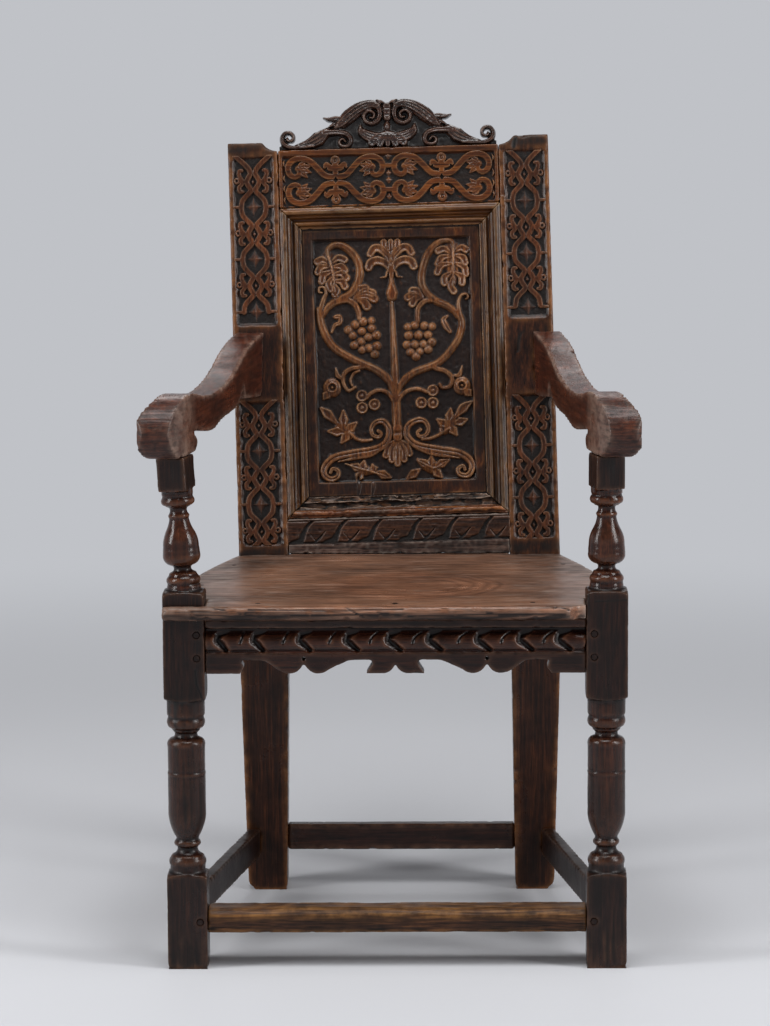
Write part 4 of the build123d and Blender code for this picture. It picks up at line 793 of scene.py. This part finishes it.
# the top rail: two pairs of spiral straps, with a trefoil where they cross
topRail = {"low": 466.8, "high": 536.3, "half": 143, "ground": -3.7, "top": 3.6, "cell": 0.68,
           "units": (-71, 71), "middle": 502.5, "seed": 51}
spiral = [(0, 3.6), (13.9, 6.4), (25.5, 18), (34, 26), (43, 29.6), (52.5, 29.4), (60.5, 24.5), (63.6, 16.5),
          (61, 8.5), (54.5, 5.2), (49, 8), (48.4, 13.5), (51, 16.5)]


def drawTopRail():
    field = newField((-topRail["half"], topRail["low"]), (topRail["half"], topRail["high"]),
                     topRail["cell"], topRail["seed"])
    top = topRail["top"]
    for unit in topRail["units"]:
        for side in (-1, 1):
            for way in (-1, 1):
                def turn(points):
                    return [(unit + side * a, topRail["middle"] + way * b) for a, b in points]
                strap(field, turn(spiral), [4.4, 4.6, 4.6, 4.4, 3.8, 3.2], top, 0.9)
                boss(field, *turn([(47, 16)])[0], 7, 6, 3.2, power=0.3)
                for tip in ((40, 25.5), (32.5, 20), (33, 11), (38, 4.5)):
                    leaf(field, turn([(50, 16), tip]), 5.4, top=3.4, dish=0.9, flank=0.9)
                # half of a trefoil
                strap(field, turn([(0, 4), (0, 20)]), [3.6, 4.6], top, 0.8)
                strap(field, turn([(0, 15), (7, 16.5), (12, 20.5), (14.5, 17)]), [4.0, 4.6, 4.0, 2.2], top,
                      0.8)
        for way in (-1, 1):
            boss(field, unit, topRail["middle"] + way * 26, 6.4, 6.8, top, power=0.12)
            sink(field, unit, topRail["middle"] + way * 26, 2.6, 3.1, 2.0)
            boss(field, unit, topRail["middle"] + way * 26, 1.3, 1.8, 3.6)
        away = np.abs(field["x"] - unit) / 3.2 + np.abs(field["y"] - topRail["middle"]) / 4.2
        field["h"] = np.where(away < 1, 0.3, field["h"])
    for rise in (17.4, -14.7):                                # bars that join the two units
        strap(field, [(-9, topRail["middle"] + rise), (9, topRail["middle"] + rise)], [3.4], top, 0.8)
    for rise in (30, 7.5, -2, -24):
        away = np.abs(field["x"]) / 4.8 + np.abs(field["y"] - topRail["middle"] - rise) / 6
        field["h"] = np.maximum(field["h"], np.where(away < 1, 2.6 * (1 - away) + 0.4, 0))
    for side in (-1, 1):
        for rise in (24, 4, -10, -25):
            leaf(field, [(side * 139, topRail["middle"] + rise - 5), (side * 140.5, topRail["middle"] + rise),
                         (side * 138.5, topRail["middle"] + rise + 5)], 1.8, top=3.0, dish=0, flank=0.8)
    weather(field, tops=0.15, ground=0.15)
    return field


carvedPiece("top_rail_carving", drawTopRail(), topRail["ground"], 2, "rail_carving_oak", "oak_frame")


# the lower rail of the back: a row of leaves between slanting hollows, much worn
lowerRail = {"low": 15.5, "high": 47.5, "half": 148.5, "ground": -3.7, "top": 3.4, "cell": 0.7, "seed": 61,
             "leaves": (-120.2, -74.8, -27.6, 25.8, 73.8, 120.5)}


def drawLowerRail():
    field = newField((-lowerRail["half"], lowerRail["low"]), (lowerRail["half"], lowerRail["high"]),
                     lowerRail["cell"], lowerRail["seed"])
    up = (field["y"] - lowerRail["low"]) / (lowerRail["high"] - lowerRail["low"])
    field["h"] += lowerRail["top"] * np.clip(np.minimum(up, 1.08 - up) * 7, 0, 1)
    field["h"] -= 1.6 * np.clip(1 - up * 1.6, 0, 1) + np.abs(softNoise(field, 9)) * 0.7 * (1.2 - up)
    field["h"] = np.maximum(field["h"], 0.25)
    for x in lowerRail["leaves"]:
        cut(field, [(x - 21, 17), (x - 12, 21), (x - 8, 29), (x - 3, 39), (x + 5, 47)],
            [6.5, 5.5, 4.0, 2.2], 5.0)
        cut(field, [(x + 6, 17), (x + 14, 24), (x + 22, 33)], [1.6, 2.4, 1.0], 2.4)
        cut(field, [(x + 2, 30), (x + 10, 20)], [1.0, 1.6], 1.4)
    weather(field, tops=0.3, ground=0.2)
    return field


carvedPiece("lower_rail_carving", drawLowerRail(), lowerRail["ground"], 2, "foot_carving_oak", "oak_frame")
print("back carved")


# the crest: two arching scrolls with acanthus, a clasp, and a palmette between them
crest = {"half": 145.5, "low": 544.3, "high": 67, "ground": -12, "back": -28, "cell": 0.7, "remade": 0.95,
         "seed": 71,
         "board": [(0, 60), (20, 60), (42, 56), (57, 45), (68, 36), (80, 28), (92, 19), (105, 11), (122, 6)]}


def fluted(field, points, halves, top, flank, flutes, depth):
    # a leaf with gouged veins that run along it
    strap(field, points, halves, top, flank)
    line, wide = smoothLine(points, halves)
    across = np.stack([-np.gradient(line[:, 1]), np.gradient(line[:, 0])], 1)
    across /= np.maximum(np.hypot(*across.T), 1e-6)[:, None]
    for share in flutes:
        vein = line + across * (wide * share)[:, None]
        cut(field, vein[2:-2:6], [0.6, 1.7, 1.5, 0.6], depth)


def drawCrest():
    field = newField((-crest["half"], 0.4), (crest["half"], crest["high"] - 0.4), crest["cell"],
                     crest["seed"])
    across = np.abs(field["x"])
    board = np.array(crest["board"])
    inside = field["y"] < np.interp(across, board[:, 0], board[:, 1])
    for side in (-1, 1):
        def turn(points):
            return [(side * a, b) for a, b in points]
        # outer scroll and the leaf that runs in from it
        fluted(field, turn([(122, 5), (106, 8.5), (93, 15), (82, 23)]), [3.8, 7.5, 10.5, 7.0], 7.8, 3.0,
               (-0.55, -0.1, 0.4), 3.0)
        strap(field, turn([(100, 5), (116, 3.6), (130, 4), (139.5, 9), (141.5, 17), (137, 23.5),
                           (130, 23.5), (126, 18), (129, 13), (134.5, 13.5), (134.5, 17)]),
              [3.0, 3.6, 3.8, 3.6, 3.4, 3.0, 2.6, 2.0], 9.2, 2.2, groove=2.0)
        # inner scroll near the rail
        strap(field, turn([(84, 22), (75, 22.5), (64, 22), (54, 19), (49.5, 11.5), (53, 4.2), (61.5, 4),
                           (65, 9.5), (60.5, 13.5), (56.5, 10)]),
              [5.4, 4.8, 4.2, 3.8, 3.4, 3.0, 2.4, 2.2], 8.6, 2.2, groove=2.0)
        # the arch with its leaves
        fluted(field, turn([(12, 57), (22, 58.5), (36, 54), (50, 44.5), (62, 34), (69, 29)]),
               [6.0, 7.6, 9.6, 10.4, 8.6, 4.4], 9.4, 3.6, (-0.62, -0.2, 0.22, 0.62), 3.4)
        fluted(field, turn([(60, 42), (70, 41), (79, 40.5), (86.5, 43.5)]), [3.0, 4.4, 3.4, 0.9], 7.6, 1.8,
               (0.1,), 2.0)
        fluted(field, turn([(64, 34), (72, 33), (80, 29)]), [2.4, 3.4, 1.4], 6.0, 1.8, (0.0,), 1.6)
        strap(field, turn([(23, 58), (12.5, 55), (9.5, 46.5), (12, 37.5), (20.5, 33), (29, 36.5),
                           (31, 44.5), (24.5, 50), (17.5, 46.5), (18.5, 40.5), (23, 41)]),
              [4.6, 4.2, 3.8, 3.4, 3.2, 3.0, 2.8, 2.4, 2.0], 9.0, 2.0, groove=2.0)
        # the wing of the palmette, and its hanging petals
        fluted(field, turn([(2, 15.5), (13, 14), (25, 16), (34.5, 22.5), (36.5, 31)]),
               [4.4, 7.4, 8.0, 6.2, 1.6], 8.0, 2.4, (-0.4, 0.05, 0.5), 2.6)
        petal(field, *turn([(3, 20), (24, 5)]), 6.6, top=8.6, dish=2.6, flank=1.8, arch=0.05)
        petal(field, *turn([(1.5, 20), (12, 2.5)]), 6.0, top=9.2, dish=2.6, flank=1.8, arch=0.05)
        leaf(field, turn([(2, 60), (8, 62), (14, 65.5)]), 3.4, top=8.2, dish=1.4, flank=1.6)
    petal(field, (0, 20), (0, 1.5), 4.2, top=9.2, dish=1.8, flank=1.6, arch=0)
    boss(field, -0.5, 28, 4.6, 7.5, 9.6)
    strap(field, [(0, 40.5), (0, 55)], [5.6, 6.4], 9.6, 1.8)
    for rise in (43.5, 48, 52.5):
        cut(field, [(-6, rise), (6, rise)], [1.2, 1.2], 2.2)
    boss(field, 0, 48, 3.0, 2.4, 9.6, low=6)
    outline = inside | (field["h"] > 0.6)
    weather(field, tops=0.25, ground=0.3)
    return field, outline


def crestPiece():
    field, outline = drawCrest()
    bm = fieldSheet(field, crest["low"], crest["ground"])
    outside = [vert for vert, kept in zip(bm.verts, outline.ravel()) if not kept]
    bmesh.ops.delete(bm, geom=outside, context="VERTS")
    bmesh.ops.delete(bm, geom=[vert for vert in bm.verts if not vert.link_faces], context="VERTS")
    setBack(bmesh.ops.extrude_face_region(bm, geom=bm.faces[:])["geom"], crest["back"])
    bmesh.ops.recalc_face_normals(bm, faces=bm.faces)
    piece = pieceFrom("crest_carving", bm)
    mesh = remake(piece, crest["remade"], 2)
    height = pointsOf(mesh)[0][:, 2] / mm
    stands = standsOut(mesh, 4)
    # the lower a point lies towards the ground, the darker it is painted
    darkAtGround = np.clip(1.1 - (height - crest["ground"]) / 2.5, 0, 0.9) * (height > crest["ground"] - 1.5)
    mesh.transform(carvingMatrix)
    storeAttribute(mesh, "edge", stands * 1.2)
    storeAttribute(mesh, "hollow", np.maximum(darkAtGround, -stands * 1.6))
    finishPiece(piece, "crest_oak", "oak_carved", "crest")


crestPiece()
print("crest carved")


# the roll under the seat: hollows scooped out of it one after another, with a nick between each two
roll = {"low": 399.7, "high": 430.2, "half": 236, "cell": 0.7, "seed": 81,
        "scoops": (-215, -170, -113, -55, -3, 47, 107, 159, 206),
        "nicks": (-190, -137, -80, -30, 23, 79, 132, 184)}


def carveRoll():
    field = newField((-roll["half"], roll["low"]), (roll["half"], roll["high"]), roll["cell"], roll["seed"])
    depth = np.zeros(field["h"].shape)

    def scoop(points, halves, deep, sharp=1.0):
        far, near = reachOf(field, points, halves)
        depth[:] = np.maximum(depth, deep * np.clip(1 - far / near, 0, 1) ** sharp)

    for number, x in enumerate(roll["scoops"]):
        lean = min(number, 4) * 0.9
        scoop([(x + 9, 426), (x - 2, 421), (x - 4 - lean * 0.3, 415), (x + 1, 409.5), (x + 6 + lean, 403)],
              [2.2, 5.0, 6.0, 5.6, 3.6], 6.5, 0.75)
    for number, x in enumerate(roll["nicks"]):
        tail = min(number, 4) * 1.6
        scoop([(x + 3 + tail, 424), (x + 1, 418), (x - 1.5, 412.5)], [0.9, 1.6, 2.2], 3.2)
    mesh = aged["front_seat_rail"].data
    places = pointsOf(mesh)[0]
    x, y, z = ((places - np.array(chairOrigin)) / mm).T
    i = np.clip(((x + roll["half"]) / field["cell"]).round().astype(int), 0, depth.shape[1] - 1)
    j = np.clip(((z - roll["low"]) / field["cell"]).round().astype(int), 0, depth.shape[0] - 1)
    here = (z > roll["low"]) & (z < roll["high"]) & (y < 11.5) & (np.abs(x) < roll["half"])
    move = np.where(here, depth[j, i], 0)
    places[:, 1] += np.minimum(move, np.clip(11.6 - y, 0, 20)) * mm
    setPlaces(mesh, places)
    stands = standsOut(mesh, 4)
    storeAttribute(mesh, "edge", stands * 1.3)
    storeAttribute(mesh, "hollow", np.maximum(-stands * 1.3, np.clip(move / 5.5 - 0.15, 0, 0.8)))
    storeAttribute(mesh, "polish_and_sheen", np.where(here, 0.55, 0))


carveRoll()
print("roll carved")


# what use has done, in mm from the chair's own origin, or up the back from the seat
def placesOf(nodeName, matrix=standMatrix):
    mesh = aged[nodeName].data
    places, normals = pointsOf(mesh)
    turned = np.array(matrix.inverted())
    return mesh, (places @ turned[:3, :3].T + turned[:3, 3]) / mm, normals @ turned[:3, :3].T


def addTo(mesh, name, amount):
    # adds to what the attribute already holds
    values = np.zeros(len(mesh.vertices))
    if name in mesh.attributes:
        mesh.attributes[name].data.foreach_get("value", values)
    storeAttribute(mesh, name, values + amount)


def sinkInto(mesh, depth, level=False):
    # moves each point into the wood by its own depth in mm, or only sideways into it
    places, normals = pointsOf(mesh)
    moves = normals * (depth * mm)[:, None]
    if level:
        moves[:, 2] = 0
    setPlaces(mesh, places - moves)


def streaks(local, seed, length, width):
    # noise drawn out along x, from -1 to 1
    return np.array([noise.noise(Vector((x / length + seed, y / width, z / width))) for x, y, z in local])


def patchy(local, seed, length, width, gain, lift, least, most):
    # streaks as an amount between least and most
    return np.clip(streaks(local, seed, length, width) * gain + lift, least, most)


def refine(nodeName, test):
    # halves the cells of the mesh where the test holds
    mesh, local = placesOf(nodeName)[:2]
    chosen = test(local)
    bm = bmesh.new()
    bm.from_mesh(mesh)
    bm.verts.ensure_lookup_table()
    edges = [e for e in bm.edges if chosen[e.verts[0].index] and chosen[e.verts[1].index]]
    bmesh.ops.subdivide_edges(bm, edges=edges, cuts=1, use_grid_fill=True)
    bm.to_mesh(mesh)
    bm.free()
    shadeSmooth(mesh)
    mesh.update()


def split(nodeName, points, half, deep, matrix=standMatrix):
    # a crack along a line of points, sunk into the wood and painted dark as painted shade deep in the split
    mesh, local = placesOf(nodeName, matrix)[:2]
    away = np.full(len(local), 99.0)
    for a, b in zip(points[:-1], points[1:]):
        a, b = np.array(a, float), np.array(b, float)
        t = np.clip((local - a) @ (b - a) / ((b - a) @ (b - a)), 0, 1)
        away = np.minimum(away, np.linalg.norm(local - a - t[:, None] * (b - a), axis=1))
    close = np.clip(1.4 - away / half, 0, 1)
    sinkInto(mesh, close * deep)
    addTo(mesh, "hollow", close)


# streaks and patches: seed, length and width in mm, gain, lift, least and most
postWear = {"foot": (3, 40, 5, 1, 0.3, 0, 1), "footHeight": 60, "dark": (8, 60, 4, 1.6, -0.3, 0, 0.7),
            "darkHeadAndFoot": (5, 14, 9, 0.8, 0.8, 0, 1), "floor": (12, 16, 10, 3.5, 2.6, 0.8, 5),
            "floorHeight": 11, "lowerTurning": (122, 338), "upperTurning": (477, 602)}


def wearPosts():
    for side in ("left", "right"):
        mesh, local = placesOf("front_post_" + side)[:2]
        height, upright = local[:, 2], local[:, [2, 0, 1]]
        (low, lowEnd), (high, highEnd) = postWear["lowerTurning"], postWear["upperTurning"]
        turned = ((height > low) & (height < lowEnd)) * 0.4 + ((height > high) & (height < highEnd)) * 0.9
        storeAttribute(mesh, "polish_and_sheen", turned)
        foot = np.clip(1 - height / postWear["footHeight"], 0, 1) * patchy(upright, *postWear["foot"])
        addTo(mesh, "edge", foot * 0.8)
        addTo(mesh, "hollow", patchy(upright, *postWear["dark"]) * (turned < 0.5))
        mesh, local = placesOf("rear_post_" + side, backMatrix)[:2]
        rise = local[:, 2]
        # the head of each back post above the top rail is painted darker, painted shade; a band where the
        # post meets the seat is painted darker as well
        darkHeadAndFoot = np.clip((rise - 536) / 12, 0, 0.75) + np.clip(1 - np.abs(rise - 4) / 13, 0, 0.8)
        addTo(mesh, "hollow", darkHeadAndFoot * (rise > -6) * patchy(local, *postWear["darkHeadAndFoot"]))
    for nodeName, crack, half, deep, matrix in (
            ("front_post_left", [(-247, 0, 379), (-246, 0, 362), (-241, 0, 350), (-239, 0, 343)], 1.2, 1.6,
             standMatrix),
            ("front_post_right", [(247, 0, 463.5), (285, 0, 464.5)], 0.9, 0.7, standMatrix),
            ("rear_post_right", [(169, 0, 562), (170.5, 0, 552), (168, 0, 538)], 2.2, 2.6, backMatrix),
            ("rear_post_right", [(172, 0, 292), (167, 0, 282), (166, 0, 266)], 1.8, 1.6, backMatrix)):
        split(nodeName, crack, half, deep, matrix)


def wearFeet():
    # the floor has rounded the bottoms of all four posts
    for name in ("front_post_left", "front_post_right", "rear_post_left", "rear_post_right"):
        mesh, local, normals = placesOf(name)
        low = np.clip(1 - local[:, 2] / postWear["floorHeight"], 0, 1) ** 2
        sides = np.abs(normals[:, 2]) < 0.75
        sinkInto(mesh, low * sides * patchy(local, *postWear["floor"]), level=True)
        addTo(mesh, "edge", low * sides * 0.5)


seatWear = {"nose": -16, "topEdge": 459, "eye": (22, 150), "loops": (1.0, 0.86, 0.7, 0.52),
            "eyeSize": (108, 98), "fine": (1, 90, 11, 0.7, -0.1, 0, 0.3),
            "broad": (2, 150, 60, 0.8, -0.2, 0, 0.3),
            "pale": (3, 60, 8, 0.9, -0.15, 0, 0.3), "paleEnds": (8, 30, 12, 1, 0.3, 0, 0.5),
            "corner": (4, 22, 14, 1.5, 0.25, 0, 0.7), "back": (11, 40, 6, 1, 0.4, 0, 0.7),
            "face": (7, 40, 4, 0.7, 0.5, 0.15, 0.8)}


def wearSeat():
    refine("seat_board", lambda local: (local[:, 1] < 4) & (local[:, 2] > 440))
    mesh, local, normals = placesOf("seat_board")
    x, y, z = local.T
    top = normals[:, 2] > 0.6
    flat = local * np.array([1, 1, 0])
    # towards the ends the top is painted darker, painted shade where the painted reflection in the middle
    # falls off, and paler in patches
    ends = np.clip((np.abs(x) - 110) / 150, 0, 1)
    dark = patchy(flat, *seatWear["fine"]) + patchy(flat, *seatWear["broad"]) + ends * 0.12
    pale = patchy(flat, *seatWear["pale"]) + ends * patchy(flat, *seatWear["paleEnds"])
    corner = np.clip((np.abs(x) - 150) / 110, 0, 1) * np.clip((y - 120) / 250, 0, 1)
    dark += corner * patchy(flat, *seatWear["corner"])
    # the heart of the board shows as loops drawn out along the grain
    u = (x - seatWear["eye"][0]) / seatWear["eyeSize"][0]
    v = (y - seatWear["eye"][1]) / seatWear["eyeSize"][1]
    spread = np.hypot(u, v) + streaks(flat, 6, 50, 30) * 0.07
    for size in seatWear["loops"]:
        dark += 0.5 * np.clip(1 - np.abs(spread - size) / 0.05, 0, 1) * np.clip(0.6 + u, 0, 1)
    back = np.clip((y - 380) / 30, 0, 1) * patchy(flat, *seatWear["back"])
    addTo(mesh, "hollow", (dark + back) * top)
    addTo(mesh, "edge", pale * top)
    # the front: a smoother nose over a face painted darker, painted shade below the nose
    face = np.clip((454 - z) / 4, 0, 1) * (y < 0)
    addTo(mesh, "hollow", face * patchy(local, *seatWear["face"]))
    addTo(mesh, "edge", -0.45 * (y < -4))
    # the middle of the top is painted brighter and redder through this attribute: a painted reflection
    middle = np.clip(1.2 - spread, 0, 0.28) * top
    storeAttribute(mesh, "polish_and_sheen", middle + (y < -4) * 0.2)
    # the front below the nose is painted darker again: painted shade
    addTo(mesh, "hollow", (y < -8) * 0.22)
    nose, high = seatWear["nose"], seatWear["topEdge"]
    for crack in ([(-246, nose, 450), (-150, nose, 449), (-60, nose, 450.5), (40, nose, 449),
                   (130, nose, 450.2), (226, nose, 449.4)],
                  [(-250, nose + 1, 455), (-190, nose, 454), (-128, nose, 454.6)],
                  [(-223, -12, high), (-200, nose, 455), (-164, nose, 447)],
                  [(-61, -11, high + 0.5), (-50, nose, 454), (-38, nose, 447)],
                  [(-22, nose, 453.5), (2, nose, 450), (22, nose, 447)],
                  [(112, nose, 453), (138, nose, 447.5)],
                  [(186, -9, high), (206, -13, 457), (228, nose, 452)],
                  [(-262, -7, high), (-232, -3, high + 1), (-206, -10, high)],
                  [(-180, -14, 457), (-60, -15, 456), (10, -14.5, 457)]):
        split("seat_board", crack, 1.0, 1.3)


# in mm from the front of the front posts
armWear = {"refined": 30, "lines": (2, 40, 1.7), "cheek": 70, "dark": (9, 60, 5, 1, -0.15, 0, 0.3),
           "pale": (5, 35, 5, 1, -0.15, 0, 0.2)}


def wearArms():
    for side, inward in (("left", 1), ("right", -1)):
        name = "arm_" + side
        refine(name, lambda local: local[:, 1] < armWear["refined"])
        mesh, local, normals = placesOf(name)
        endGrain = np.clip((armWear["refined"] - local[:, 1]) / 20, 0, 1)
        endGrain = endGrain * np.clip(-normals[:, 1] * 1.6 - 0.2, 0, 1)
        lines = streaks(local[:, [0, 2, 1]] * np.array([1, 1, 0.3]), *armWear["lines"])
        sinkInto(mesh, endGrain * np.clip(lines * 1.5, 0, 1) * 0.25)
        addTo(mesh, "hollow", endGrain * (0.15 + np.clip(lines * 1.2, 0, 0.38)))
        cheek = np.clip((armWear["cheek"] - local[:, 1]) / 40, 0, 1) * (normals[:, 0] * inward > 0.5)
        addTo(mesh, "edge", cheek * 0.75)
        along = local[:, [1, 0, 2]]
        addTo(mesh, "hollow", patchy(along, *armWear["dark"]))
        # the upward faces get paler patches: wear, and a painted sheen on the tops
        addTo(mesh, "edge", patchy(along, *armWear["pale"]) * (normals[:, 2] > 0.2))


stretcherWear = {"rubbed": (2, 45, 2.2, 1.2, 0.5, 0.1, 1), "grooves": (4, 30, 1.8, 2.0, -0.1, 0, 1)}


def wearStretcher():
    mesh, local = placesOf("front_stretcher")[:2]
    low, high = local[:, 2].min(), local[:, 2].max()
    up = (local[:, 2] - low) / (high - low)
    addTo(mesh, "edge", np.clip((up - 0.45) * 3, 0, 1) * patchy(local, *stretcherWear["rubbed"]))
    grooves = patchy(local, *stretcherWear["grooves"])
    sinkInto(mesh, grooves * 0.5)
    addTo(mesh, "hollow", grooves * np.clip(1.2 - up, 0.25, 0.9))


mouldingWear = {"inner": 10.5, "torn": (1, 22, 6), "gone": (2, 60, 14, 3, 0, 0, 2),
                "dark": (3, 18, 3, 1, 0, 0, 0.6), "polish_and_sheen": (5, 50, 20, 1.5, 0.7, 0.1, 1)}


def wearBottomMoulding():
    # feet and cleaning have worn away the inner beads and left the outer one
    mesh, local, normals = placesOf("panel_moulding_bottom", backMatrix)
    inward = local[:, 2] - local[:, 2].min()
    inner = np.clip((inward - mouldingWear["inner"]) / 2.5, 0, 1)
    torn = np.abs(streaks(local, *mouldingWear["torn"])) * 5 + patchy(local, *mouldingWear["gone"])
    sinkInto(mesh, torn * inner * (normals[:, 1] < 0.3))
    stands = standsOut(mesh, 5)
    # pale edges, strongest over the worn inner beads: partly wear, partly painted highlight on the torn edges
    storeAttribute(mesh, "edge", (np.clip(stands, 0, 1) * 1.5 + 0.1) * (0.35 + 0.65 * inner))
    storeAttribute(mesh, "hollow", np.clip(-stands * 1.4, 0, 1) + inner * patchy(local,
                                                                                 *mouldingWear["dark"]))
    storeAttribute(mesh, "polish_and_sheen", (1 - inner) * patchy(local, *mouldingWear["polish_and_sheen"]))


wearPosts()
wearFeet()
wearSeat()
wearArms()
wearStretcher()
wearBottomMoulding()
print("wear added")


# the room: a round paper floor that curves up into a wall 14 m away, so that the chair can be seen all round
room = {"flat": 11.0, "bend": 3.0, "wall": 5.0, "paper": "c8c9cd", "distance": "c0c2c7", "fadeFrom": 0.9,
        "fadeTo": 3.2, "air": "e8e9ee", "airStrength": 0.18}


def studio():
    bend = room["bend"]
    profile = [(0, 0), (2.5, 0), (5, 0), (8, 0), (room["flat"], 0)]
    profile += [(room["flat"] + bend * math.sin(a), bend - bend * math.cos(a))
                for a in np.linspace(0, math.pi / 2, 13)[1:]]
    profile.append((room["flat"] + bend, room["wall"]))
    bm = bmesh.new()
    points = [bm.verts.new((x, 0, z)) for x, z in profile]
    edges = [bm.edges.new(pair) for pair in zip(points[:-1], points[1:])]
    bmesh.ops.spin(bm, geom=points + edges, cent=(0, 0, 0), axis=(0, 0, 1), angle=2 * math.pi, steps=96,
                   use_merge=True)
    bmesh.ops.remove_doubles(bm, verts=bm.verts, dist=1e-5)
    bmesh.ops.recalc_face_normals(bm, faces=bm.faces)
    sweep = pieceFrom("studio_sweep", bm)
    shadeSmooth(sweep.data)
    material = bpy.data.materials.new("matt_paper")
    tree = emptyTree(material)
    paper = addNode(tree, "BsdfPrincipled", inputs={
        "Base Color": linearColour(room["paper"]), "Roughness": 0.9, "Specular IOR Level": 0.2})
    # far from the lamps the paper is shown at one even tone: it adds no diffuse light, but gloss shows it
    even = addNode(tree, "Emission", inputs={
        "Color": linearColour(room["distance"]), "Strength": 1.0})
    place = addNode(tree, "TexCoord")
    away = addNode(tree, "VectorMath", {"operation": "LENGTH"}, {0: (place, "Object")})
    fade = addNode(tree, "MapRange", {"interpolation_type": "SMOOTHSTEP"}, {
        "Value": (away, "Value"), "From Min": room["fadeFrom"], "From Max": room["fadeTo"]})
    ray = addNode(tree, "LightPath")
    direct = addNode(tree, "Math", {"operation": "ADD"}, {
        0: (ray, "Is Camera Ray"), 1: (ray, "Is Glossy Ray")})
    seen = addNode(tree, "Math", {"operation": "ADD", "use_clamp": True}, {
        0: (direct, "Value"), 1: (ray, "Is Transmission Ray")})
    share = addNode(tree, "Math", {"operation": "MULTIPLY"}, {
        0: (fade, "Result"), 1: (seen, "Value")})
    shader = addNode(tree, "MixShader", inputs={
        0: (share, "Value"), 1: (paper, "BSDF"), 2: (even, "Emission")})
    addNode(tree, "OutputMaterial", inputs={"Surface": (shader, "Shader")})
    sweep.data.materials.append(material)
    world = bpy.data.worlds.new("studio_air")
    bpy.context.scene.world = world
    tree = emptyTree(world)
    air = addNode(tree, "Background", inputs={
        "Color": linearColour(room["air"]), "Strength": room["airStrength"]})
    addNode(tree, "OutputWorld", inputs={"Surface": (air, "Background")})


lamps = {   # place, aim, width, height, watts
    "overhead": ((0.0, -0.7, 2.9), (0, 0.1, 0.5), 1.5, 1.2, 46),
    "left_box": ((-2.3, -1.0, 1.5), (0, 0.1, 0.7), 0.6, 1.8, 44),
    "right_box": ((2.3, -1.2, 1.6), (0, 0.1, 0.7), 0.6, 1.8, 50),
    "back_fill": ((0.0, 2.3, 2.4), (0, 0.3, 0.5), 1.6, 0.8, 12),
}
studio()
for name, (place, aim, width, height, watts) in lamps.items():
    data = bpy.data.lights.new(name, "AREA")
    data.shape = "RECTANGLE"
    data.size, data.size_y, data.energy = width, height, watts
    lamp = bpy.data.objects.new(name, data)
    lamp.location = place
    lamp.rotation_euler = (Vector(aim) - Vector(place)).to_track_quat("-Z", "Y").to_euler()
    bpy.context.scene.collection.objects.link(lamp)

# camera: 4.7 m in front of the chair at 1.25 m, looking a little down
eye = {"across": -15, "forward": -4735, "height": 1249, "pitch": 8.11, "yaw": 1.01, "roll": 0.38,
       "lens": 182.5, "turnsAbout": 200}
cameraData = bpy.data.cameras.new("eye")
cameraData.sensor_fit = "HORIZONTAL"
cameraData.sensor_width = 36
cameraData.lens = eye["lens"]
camera = bpy.data.objects.new("eye", cameraData)
bpy.context.scene.collection.objects.link(camera)
pivot = chairOrigin + Vector((0, eye["turnsAbout"] * mm, 0))
turn = (Matrix.Translation(pivot) @ Matrix.Rotation(math.radians(eye["yaw"]), 4, "Z")
        @ Matrix.Translation(-pivot))
stand = Matrix.Translation(chairOrigin + Vector((eye["across"], eye["forward"], eye["height"])) * mm)
camera.matrix_world = (turn @ stand @ Matrix.Rotation(math.radians(90 - eye["pitch"]), 4, "X")
                       @ Matrix.Rotation(math.radians(-eye["roll"]), 4, "Z"))
bpy.context.scene.camera = camera
bpy.context.scene.view_settings.view_transform = "Standard"
print("studio ready")
